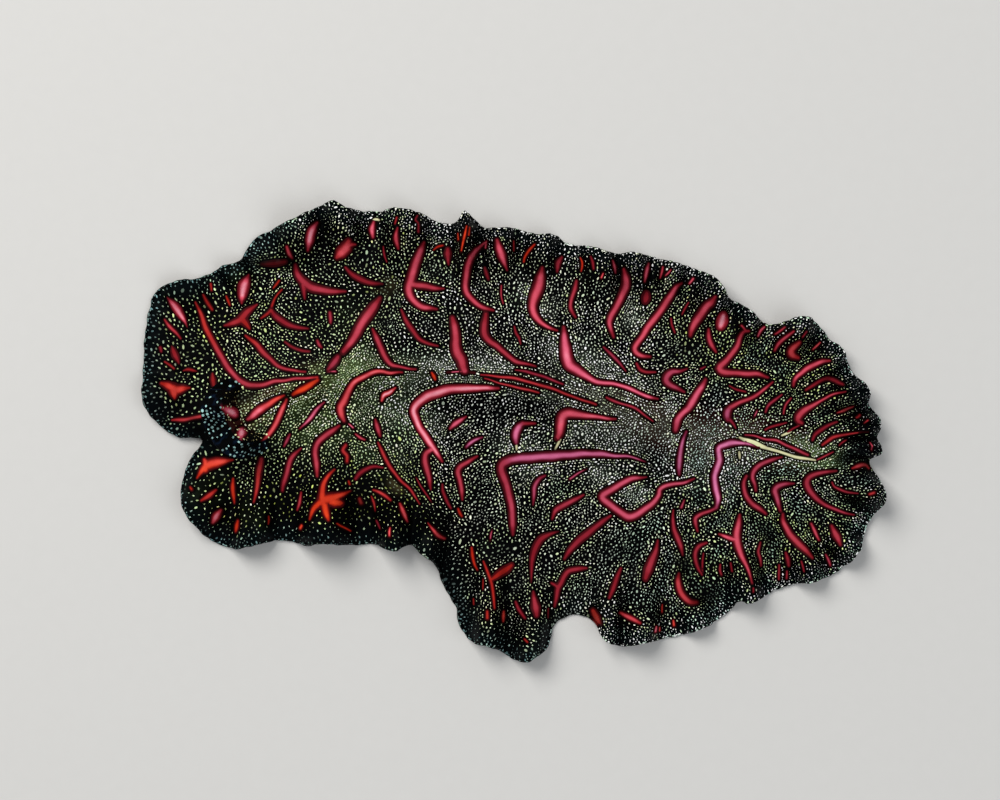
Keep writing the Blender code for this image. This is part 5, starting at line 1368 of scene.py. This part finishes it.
def make_ear_spots(sizes, tones, finish):
    """The bluish spots of the pseudotentacles, large on the black band and fine behind it."""
    chance = np.random.default_rng(EAR_SPOT_SEED)
    turn = chance.uniform(0.0, 1.0, EAR_TRIES)
    share = chance.uniform(0.02, 0.99, EAR_TRIES)
    angle = ear_angle(turn)
    centre = ear_back(angle, share, sizes)
    edge = read_bars(centre[:, :2])["edge"]
    on_band = share > sum(EAR_BAND) / 2
    ringing = (edge > -0.16) & (edge < 0.26)
    open_skin = (edge > -0.16) | on_band
    room = np.where(on_band, 0.46, np.where(ringing, 0.29, 0.26))
    field = SpotField(0.4)
    seen = np.column_stack([centre[:, 0], centre[:, 1] + centre[:, 2] * 0.8])
    kept = [k for k in range(EAR_TRIES) if open_skin[k] and field.offer(*seen[k], room[k])]
    turn, share, angle, centre = turn[kept], share[kept], angle[kept], centre[kept]
    on_band, ringing = on_band[kept], ringing[kept] & ~on_band[kept]
    reach = 0.01
    along = unit(ear_back(angle + reach, share, sizes) - centre)
    normal = unit(np.cross(along, ear_back(angle, share + reach, sizes) - centre))
    normal[normal[:, 2] < 0] *= -1.0
    count = len(kept)
    width = np.where(on_band, chance.uniform(0.17, 0.33, count), chance.uniform(0.11, 0.18, count))
    width = np.where(ringing, chance.uniform(0.18, 0.26, count), width)
    length = width * chance.uniform(1.0, 1.35, count)
    colour = np.where(on_band[:, None], np.array(tones.spot_teal), np.array(tones.spot_tan))
    colour = np.where(ringing[:, None], np.array(tones.spot_cream), colour)
    light = chance.uniform(0.25, 1.1, (count, 1))
    colour = colour * np.where(ringing[:, None], np.maximum(light, 0.7), light)
    laid = (centre + normal * 0.01, along, np.cross(normal, along), normal)
    piece = dome_mesh("spots_on_pseudotentacles", laid, length, width, EAR_SPOT_LIFT, colour,
                      unwrap_ear(turn, share * 0.7), finish)
    return piece


EYE_CLUSTERS = [((-28.75, 1.75), 9), ((-28.5, 0.95), 9)]


def make_eyespots(sizes, tones, finish):
    """The two small clusters of dark eyespots over the brain, just behind the pseudotentacles."""
    chance = np.random.default_rng(EYESPOT_SEED)
    plan = []
    for (x, y), count in EYE_CLUSTERS:
        for number in range(count):
            turn = number * 2.4
            away = 0.075 * math.sqrt(number)
            plan.append((x + away * math.cos(turn), y + away * math.sin(turn)))
    plan = np.array(plan)
    count = len(plan)
    centre = np.column_stack([plan, skin_faces(plan, sizes)["upper"] + 0.02])
    size = chance.uniform(0.06, 0.10, count)
    colour = np.tile(np.array(tones.velvet), (count, 1))
    laid = (centre, *np.repeat(np.eye(3)[:, None], count, axis=1))
    piece = dome_mesh("eyespots", laid, size, size, EYESPOT_LIFT, colour,
                      on_island(plan, BACK_ISLAND), finish)
    return piece


class Flow:
    """A socket that takes part in Python expressions; each step of an expression adds a node."""

    def __init__(self, finish, socket):
        self.finish = finish
        self.socket = socket

    def __add__(self, other):
        return self.finish.maths("ADD", self, other)

    def __sub__(self, other):
        return self.finish.maths("SUBTRACT", self, other)

    def __rsub__(self, other):
        return self.finish.maths("SUBTRACT", other, self)

    def __mul__(self, other):
        return self.finish.maths("MULTIPLY", self, other)

    __radd__ = __add__
    __rmul__ = __mul__

    def lowest(self, other):
        """The lower of this value and another."""
        return self.finish.maths("MINIMUM", self, other)

    def rising(self, low, high):
        """0 below the low value, 1 above the high one and smooth between; high may be the lower."""
        flipped = low > high
        first, last = (high, low) if flipped else (low, high)
        risen = self.finish.node("ShaderNodeMapRange", {"interpolation_type": "SMOOTHSTEP"},
                                 {"Value": self, "From Min": first, "From Max": last})
        return 1 - risen if flipped else risen


class Finish:
    """One material under way, whose nodes all come from one method."""

    def __init__(self, name):
        self.material = bpy.data.materials.new(name)
        self.material.use_nodes = True
        self.tree = self.material.node_tree
        self.tree.nodes.clear()

    def node(self, kind, settings=None, sockets=None, output=0):
        """Add a node, with its settings made first, and give back one of its outputs."""
        made = self.tree.nodes.new(kind)
        for key, value in (settings or {}).items():
            setattr(made, key, value)
        for key, value in (sockets or {}).items():
            if isinstance(value, Flow):
                self.tree.links.new(value.socket, made.inputs[key])
            else:
                made.inputs[key].default_value = value
        return Flow(self, made.outputs[output]) if made.outputs else made

    def maths(self, operation, first, second):
        """One step of an expression on numbers."""
        return self.node("ShaderNodeMath", {"operation": operation}, {0: first, 1: second})

    def mix(self, share, first, second, way="MIX"):
        """Two colours mixed, each a socket or a plain colour."""
        first = first if isinstance(first, Flow) else (*first, 1.0)
        second = second if isinstance(second, Flow) else (*second, 1.0)
        return self.node("ShaderNodeMix", {"data_type": "RGBA", "blend_type": way},
                         {0: share, 6: first, 7: second}, 2)

    def value(self, name, output="Fac"):
        """What the mesh holds under a name, as a number, or as a colour."""
        return self.node("ShaderNodeAttribute", {"attribute_name": name}, output=output)

    def texture(self, kind, size_mm, sockets, output):
        """A texture laid out in space, with features of about the given size."""
        place = self.node("ShaderNodeTexCoord", output="Object")
        return self.node(kind, None, {"Vector": place, "Scale": 1.0 / (size_mm * MM), **sockets}, output)

    def noise(self, size_mm, detail=3.0, roughness=0.55, distortion=0.0):
        """Soft clouds."""
        sockets = {"Detail": detail, "Roughness": roughness, "Distortion": distortion}
        return self.texture("ShaderNodeTexNoise", size_mm, sockets, "Fac")

    def grains(self, size_mm):
        """The distance from the middle of the nearest of many scattered grains."""
        return self.texture("ShaderNodeTexVoronoi", size_mm, {}, "Distance")

    def bump(self, height, depth_mm, strength):
        """A fine relief of the surface."""
        return self.node("ShaderNodeBump", sockets={
            "Strength": strength, "Distance": depth_mm * MM, "Height": height}, output="Normal")

    def surface(self, sockets):
        """Close the material with a surface that takes these sockets."""
        shader = self.node("ShaderNodeBsdfPrincipled", sockets=sockets, output="BSDF")
        self.node("ShaderNodeOutputMaterial", sockets={"Surface": shader})
        return self.material


def skin_finish(tones, with_ears=False):
    """Velvet black flesh with crimson bars whose brightest middles carry a painted highlight, teal at the
    margin, painted shade deep between folds, and dusky below.
    """
    finish = Finish("pseudotentacle_flesh" if with_ears else "carpet_flesh")
    mix, noise, value = finish.mix, finish.noise, finish.value
    edge = value("bar_edge") + (noise(0.6, 2.0) - 0.5) * 0.04
    depth = value("bar_depth")
    tint = value("bar_tint")
    bright = value("bar_bright") * (0.74 + 0.50 * noise(2.4, 2.0))
    from_margin = value("from_margin")
    from_midline = value("from_midline")
    along = value("along")
    # Painted shade deep between folds, and under the pseudotentacles
    deep = value("deep")

    cloud = noise(7.0, 3.0)
    fine_cloud = noise(0.9, 4.0, 0.6)
    margin_share = from_margin.rising(3.2, 0.2) * (0.55 + 0.45 * cloud)
    ground = mix(margin_share, tones.velvet, tones.margin_tint)
    behind_middle = from_midline.rising(3.6, 0.4) * along.rising(0.50, 0.70) * along.rising(1.0, 0.90)
    at_head = from_midline.rising(2.6, 0.3) * along.rising(0.30, 0.05)
    warm = (behind_middle * 0.45 + at_head * 0.6) * (0.25 + 1.0 * fine_cloud)
    ground = mix(warm, ground, tones.midline_tint)
    bloom = value("bloom")
    near_keel = from_midline.rising(2.2, 0.3) * along.rising(0.06, 0.14)
    veil = cloud.rising(0.55, 0.8) * 0.05 + bloom * 0.30 + near_keel * 0.36
    limy = along.rising(0.40, 0.10) + along.rising(0.88, 0.96) * 0.7
    haze = mix(limy, tones.haze, tones.haze_lime)
    ground = mix(veil * (0.55 + 0.9 * fine_cloud), ground, haze)
    specks = finish.grains(0.16).rising(0.36, 0.12) * noise(1.7, 2.0).rising(0.36, 0.60)
    ground = mix(specks * (bloom * 0.22 + near_keel * 0.16), ground, tones.spot_green)
    ground = mix(value("olive") * 0.9, ground, tones.olive)
    ground = mix(edge.rising(0.40, 0.16) * 0.95, ground, tones.black)
    ground = mix(edge.rising(0.20, 0.02) * bright.rising(0.2, 0.9), ground, tones.bar_rim)

    to_orange = tint.rising(-0.15, -1.0)
    to_mauve = tint.rising(0.15, 1.0)
    rich = mix(to_orange, tones.bar_crimson, tones.bar_orange)
    rich = mix(to_mauve, rich, tones.bar_mauve)
    pale = mix(to_orange, tones.bar_pink, tones.bar_coral)
    pale = mix(to_mauve, pale, tones.bar_lilac)
    middle = depth.rising(0.85, 0.05) * bright.rising(0.35, 1.1)
    streaks = noise(0.40, 4.0, 0.7, 0.4)
    flesh = mix(middle * (0.62 + 0.5 * streaks), rich, pale)
    # Painted highlight: the middles of the brightest bars turn pale pink, as if lit
    flesh = mix(depth.rising(0.60, 0.0) * bright.rising(0.98, 1.3) * 0.85, flesh, tones.bar_painted_highlight)
    dusk = (1 - bright) * 0.80 + depth.rising(0.25, 0.92) * 0.90
    flesh = mix(dusk.lowest(0.96), flesh, tones.bar_edge)
    flesh = mix(tint.rising(1.5, 1.9) * (bright + 0.1), flesh, tones.spot_cream)
    on_bar = edge.rising(0.045, -0.06) * bright.rising(0.02, 0.22)
    back = mix(on_bar, ground, flesh)
    # Painted shade: the skin goes black deep between folds and under the pseudotentacles
    back = mix(deep * 0.75, back, tones.black)
    if with_ears:
        band = value("ear").rising(0.1, 0.9)
        inky = mix(noise(1.1, 2.0).rising(0.5, 0.72) * 0.8, tones.velvet, tones.navy)
        back = mix(band, back, inky)

    below = value("under")
    pit = value("pit")
    belly = mix(noise(2.4, 4.0).rising(0.3, 0.7), tones.under_side, tones.under_shade)
    belly = mix(from_margin.rising(1.8, 0.3), belly, tones.margin_tint)
    belly = mix(from_midline.rising(3.4, 1.0) * 0.45, belly, tones.under_pale)
    belly = mix(pit.rising(0.04, 0.2), belly, tones.pit_rose)
    whole = mix(below.rising(0.4, 0.6), back, belly)

    grain = noise(0.22, 3.0, 0.6) * 0.6 + finish.grains(0.30) * 0.5
    wet = noise(3.0, 2.0).rising(0.35, 0.7)
    roughness = 0.50 - 0.10 * wet + 0.10 * fine_cloud - on_bar * 0.06
    normal = finish.bump(grain, 0.030, 0.55)
    return finish.surface({"Base Color": whole, "Roughness": roughness, "Normal": normal,
                           "Metallic": 0.0, "Specular IOR Level": 0.02, "IOR": 1.4})


def spot_finish(tones):
    """Pale pigment grains with a soft wet look."""
    finish = Finish("spot_pigment")
    colour = finish.value("spot_colour", "Color")
    grain = finish.noise(0.10, 2.0)
    whole = finish.mix(0.35 * grain, colour, tones.spot_white, "MULTIPLY")
    normal = finish.bump(grain, 0.008, 0.5)
    return finish.surface({
        "Base Color": whole, "Roughness": 0.42 + 0.12 * grain, "Normal": normal, "Metallic": 0.0,
        "Specular IOR Level": 0.1})


def floor_finish(studio):
    """A plain pale matt floor."""
    finish = Finish("pale_floor")
    grain = finish.noise(1.5, 3.0)
    shade = tuple(channel * 0.97 for channel in studio.floor_colour)
    colour = finish.mix(grain, tuple(studio.floor_colour), shade)
    return finish.surface({
        "Base Color": colour, "Roughness": 0.78 + 0.06 * grain, "Normal": finish.bump(grain, 0.02, 0.2),
        "Metallic": 0.0, "Specular IOR Level": 0.2})


def make_floor(studio):
    """The plain square floor under the animal."""
    half = studio.floor_size / 2
    mesh = bpy.data.meshes.new("floor")
    mesh.from_pydata([(-half, -half, 0.0), (half, -half, 0.0), (half, half, 0.0), (-half, half, 0.0)],
                     [], [(0, 1, 2, 3)])
    mesh.materials.append(floor_finish(studio))
    floor = bpy.data.objects.new("floor", mesh)
    bpy.context.scene.collection.objects.link(floor)


def make_lamp(name, power, place, size, colour):
    """A soft square lamp that looks at the animal."""
    lamp = bpy.data.lights.new(name, "AREA")
    lamp.shape = "SQUARE"
    lamp.size = size
    lamp.energy = power
    lamp.color = colour
    holder = bpy.data.objects.new(name, lamp)
    holder.location = place
    holder.rotation_euler = (-Vector(place)).to_track_quat("-Z", "Y").to_euler()
    bpy.context.scene.collection.objects.link(holder)


def make_camera(studio):
    """The camera straight above, framed as the photograph is."""
    data = bpy.data.cameras.new("view_from_above")
    data.sensor_fit = "HORIZONTAL"
    data.sensor_width = SENSOR
    height = studio.camera_height / MM
    data.lens = SENSOR * (height - VIEW_LEVEL) / VIEW_WIDTH
    data.clip_start = 0.01
    data.clip_end = 20.0
    camera = bpy.data.objects.new("view_from_above", data)
    camera.location = (VIEW_CENTRE[0] * MM, VIEW_CENTRE[1] * MM, studio.camera_height)
    bpy.context.scene.collection.objects.link(camera)
    bpy.context.scene.camera = camera


def length_property(name, millimetres, description):
    """A length that a user can change, given in millimetres."""
    return FloatProperty(name=name, description=description, default=millimetres * MM, min=0.0,
                         precision=5, subtype="DISTANCE", unit="LENGTH")


def tone(name, screen_colour, description):
    """A colour that a user can change, given as a screen shows it."""
    return FloatVectorProperty(name=name, description=description, size=3, subtype="COLOR",
                               min=0.0, max=1.0, default=from_screen(*screen_colour))


class FlatwormSizes(PropertyGroup):
    """Sizes of the living sheet, its spots and its pseudotentacles."""

    lip_thickness: length_property("Lip", 0.55, "Thickness of the sheet at its margin")
    flank_thickness: length_property("Flank", 1.10, "What the flanks add to the lip's thickness")
    ridge_thickness: length_property("Ridge", 2.20, "What the median ridge adds over the gut")
    keel_height: length_property("Keel", 0.26, "Height of the thin crest along the midline")
    bar_relief: length_property("Bar relief", 0.07, "How far the bars stand above the skin")
    spot_size: length_property("Spot", 0.142, "Width of a common spot")
    spot_spacing: length_property("Spot spacing", 0.33, "Room between spots on open skin")
    ear_height: length_property("Pseudotentacle", 4.3, "Height of the two ears over the head")


class FlatwormColours(PropertyGroup):
    """Colours of the skin, its bars and its spots."""

    velvet: tone("Velvet", (3, 3, 4), "The black of the back")
    olive: tone("Olive", (54, 48, 28), "The olive hollows between folds")
    # Black is both the black pigment round each bar and the painted shade deep between folds and under the
    # pseudotentacles
    black: tone("Black", (1, 1, 1), "The black round each bar and deep between folds")
    margin_tint: tone("Margin", (3, 8, 10), "The teal black of the margin")
    midline_tint: tone("Midline", (64, 27, 22), "The warm brown beside the midline")
    haze: tone("Haze", (50, 54, 46), "The faint grey clouds of the back")
    haze_lime: tone("Lime haze", (72, 92, 42), "The green clouds of the front and the tail")
    navy: tone("Navy", (11, 24, 42), "The dark blue patches of the pseudotentacles")
    bar_crimson: tone("Bar", (164, 34, 48), "The common red of a bar")
    bar_pink: tone("Bar middle", (232, 96, 118), "The paler middle of a bar")
    # A painted highlight in the middle of the brightest bars
    bar_painted_highlight: tone("Bar shine", (255, 176, 190), "The palest middle of the brightest bars")
    bar_rim: tone("Bar rim", (30, 4, 5), "The red black just outside a bar")
    bar_edge: tone("Bar edge", (58, 8, 14), "The dark red at a bar's edge")
    bar_orange: tone("Orange bar", (206, 42, 16), "The red of the orange bars")
    bar_coral: tone("Orange middle", (240, 78, 40), "The middle of the orange bars")
    bar_mauve: tone("Mauve bar", (132, 30, 66), "The red of the mauve bars")
    bar_lilac: tone("Mauve middle", (228, 126, 172), "The middle of the mauve bars")
    spot_cream: tone("Cream spot", (242, 246, 190), "Spots on the crests")
    spot_lime: tone("Lime spot", (216, 236, 160), "The rows of spots beside the bars")
    spot_green: tone("Green spot", (200, 234, 196), "The common pale green spots")
    spot_white: tone("White spot", (242, 248, 236), "Spots of the middle of the back")
    spot_yellow: tone("Yellow spot", (206, 222, 96), "Yellow spots of the lobes and folds")
    spot_blue: tone("Blue spot", (140, 190, 196), "Spots of the margin")
    spot_teal: tone("Teal spot", (170, 214, 210), "Spots of the pseudotentacles")
    spot_tan: tone("Tan spot", (196, 186, 128), "Fine spots behind the pseudotentacles")
    under_side: tone("Under side", (126, 98, 100), "The dusky rose of the under side")
    under_shade: tone("Under shade", (92, 72, 80), "The greyer clouds of the under side")
    under_pale: tone("Under middle", (172, 140, 132), "The paler gut showing below")
    pit_rose: tone("Pores", (96, 48, 52), "Inside the mouth, the pores and the sucker")


class FlatwormStudio(PropertyGroup):
    """The floor, the lamps and the camera."""

    floor_size: length_property("Floor", 3000.0, "Side of the floor")
    floor_colour: FloatVectorProperty(name="Floor colour", description="Colour of the floor", size=3,
                                      subtype="COLOR", min=0.0, max=1.0, default=(0.62, 0.61, 0.59))
    key_power: FloatProperty(name="Key", description="Power of the main lamp", default=2.6, min=0.0,
                             unit="POWER")
    fill_power: FloatProperty(name="Fill", description="Power of the fill lamp", default=1.05, min=0.0,
                              unit="POWER")
    sky_light: FloatProperty(name="Sky", description="Strength of the even light", default=0.33,
                             min=0.0)
    camera_height: length_property("Camera", 280.0, "Height of the camera")


class FLATWORM_OT_skin(Operator):
    """Make the closed skin with its bars and hide the flesh nodes that it stands for"""

    bl_idname = "flatworm.make_skin"
    bl_label = "Skin with bars"

    def execute(self, context):
        scene = context.scene
        make_skin(scene.flatworm_sizes, skin_finish(scene.flatworm_colours))
        return {"FINISHED"}


class FLATWORM_OT_pseudotentacles(Operator):
    """Make the two ear-like pseudotentacles that stand on the head"""

    bl_idname = "flatworm.make_pseudotentacles"
    bl_label = "Pseudotentacles"

    def execute(self, context):
        scene = context.scene
        make_pseudotentacles(scene.flatworm_sizes, skin_finish(scene.flatworm_colours, True))
        return {"FINISHED"}


class FLATWORM_OT_spots(Operator):
    """Make the spots of the back and of the pseudotentacles, and the eyespots"""

    bl_idname = "flatworm.make_spots"
    bl_label = "Spots and eyespots"

    def execute(self, context):
        scene = context.scene
        sizes, tones = scene.flatworm_sizes, scene.flatworm_colours
        finish = spot_finish(tones)
        make_spots(sizes, tones, finish)
        make_ear_spots(sizes, tones, finish)
        make_eyespots(sizes, tones, finish)
        return {"FINISHED"}


class FLATWORM_OT_studio(Operator):
    """Make the pale floor, the soft lamps and the camera straight above"""

    bl_idname = "flatworm.make_studio"
    bl_label = "Studio"

    def execute(self, context):
        scene = context.scene
        studio = scene.flatworm_studio
        make_camera(studio)
        make_floor(studio)
        make_lamp("key_lamp", studio.key_power, *KEY_LAMP)
        make_lamp("fill_lamp", studio.fill_power, *FILL_LAMP)
        world = bpy.data.worlds.new("even_light")
        world.use_nodes = True
        sky = world.node_tree.nodes["Background"]
        sky.inputs["Color"].default_value = SKY_COLOUR
        sky.inputs["Strength"].default_value = studio.sky_light
        scene.world = world
        scene.view_settings.view_transform = "Standard"
        return {"FINISHED"}


class FLATWORM_PT_panel(Panel):
    """The steps that build the flatworm, and its sizes and colours"""

    bl_label = "Flatworm"
    bl_idname = "FLATWORM_PT_panel"
    bl_space_type = "VIEW_3D"
    bl_region_type = "UI"
    bl_category = "Flatworm"

    def draw(self, context):
        layout = self.layout
        for step in STEPS:
            layout.operator(step.bl_idname)
        for group in (context.scene.flatworm_sizes, context.scene.flatworm_colours,
                      context.scene.flatworm_studio):
            box = layout.box()
            for key in group.bl_rna.properties.keys():
                if key not in ("rna_type", "name"):
                    box.prop(group, key)


STEPS = (FLATWORM_OT_studio, FLATWORM_OT_skin, FLATWORM_OT_pseudotentacles, FLATWORM_OT_spots)
GROUPS = (("flatworm_sizes", FlatwormSizes), ("flatworm_colours", FlatwormColours),
          ("flatworm_studio", FlatwormStudio))


def register():
    """Make the groups, the steps and the panel known to Blender."""
    for key, group in GROUPS:
        bpy.utils.register_class(group)
        setattr(bpy.types.Scene, key, PointerProperty(type=group))
    for step in STEPS:
        bpy.utils.register_class(step)
    bpy.utils.register_class(FLATWORM_PT_panel)


def unregister():
    """Take the same away again."""
    bpy.utils.unregister_class(FLATWORM_PT_panel)
    for step in reversed(STEPS):
        bpy.utils.unregister_class(step)
    for key, group in reversed(GROUPS):
        delattr(bpy.types.Scene, key)
        bpy.utils.unregister_class(group)


def main():
    """Build the flatworm and its studio."""
    register()
    bpy.ops.flatworm.make_studio()
    bpy.ops.flatworm.make_skin()
    bpy.ops.flatworm.make_pseudotentacles()
    bpy.ops.flatworm.make_spots()
    bpy.context.view_layer.update()


if __name__ == "__main__":
    main()
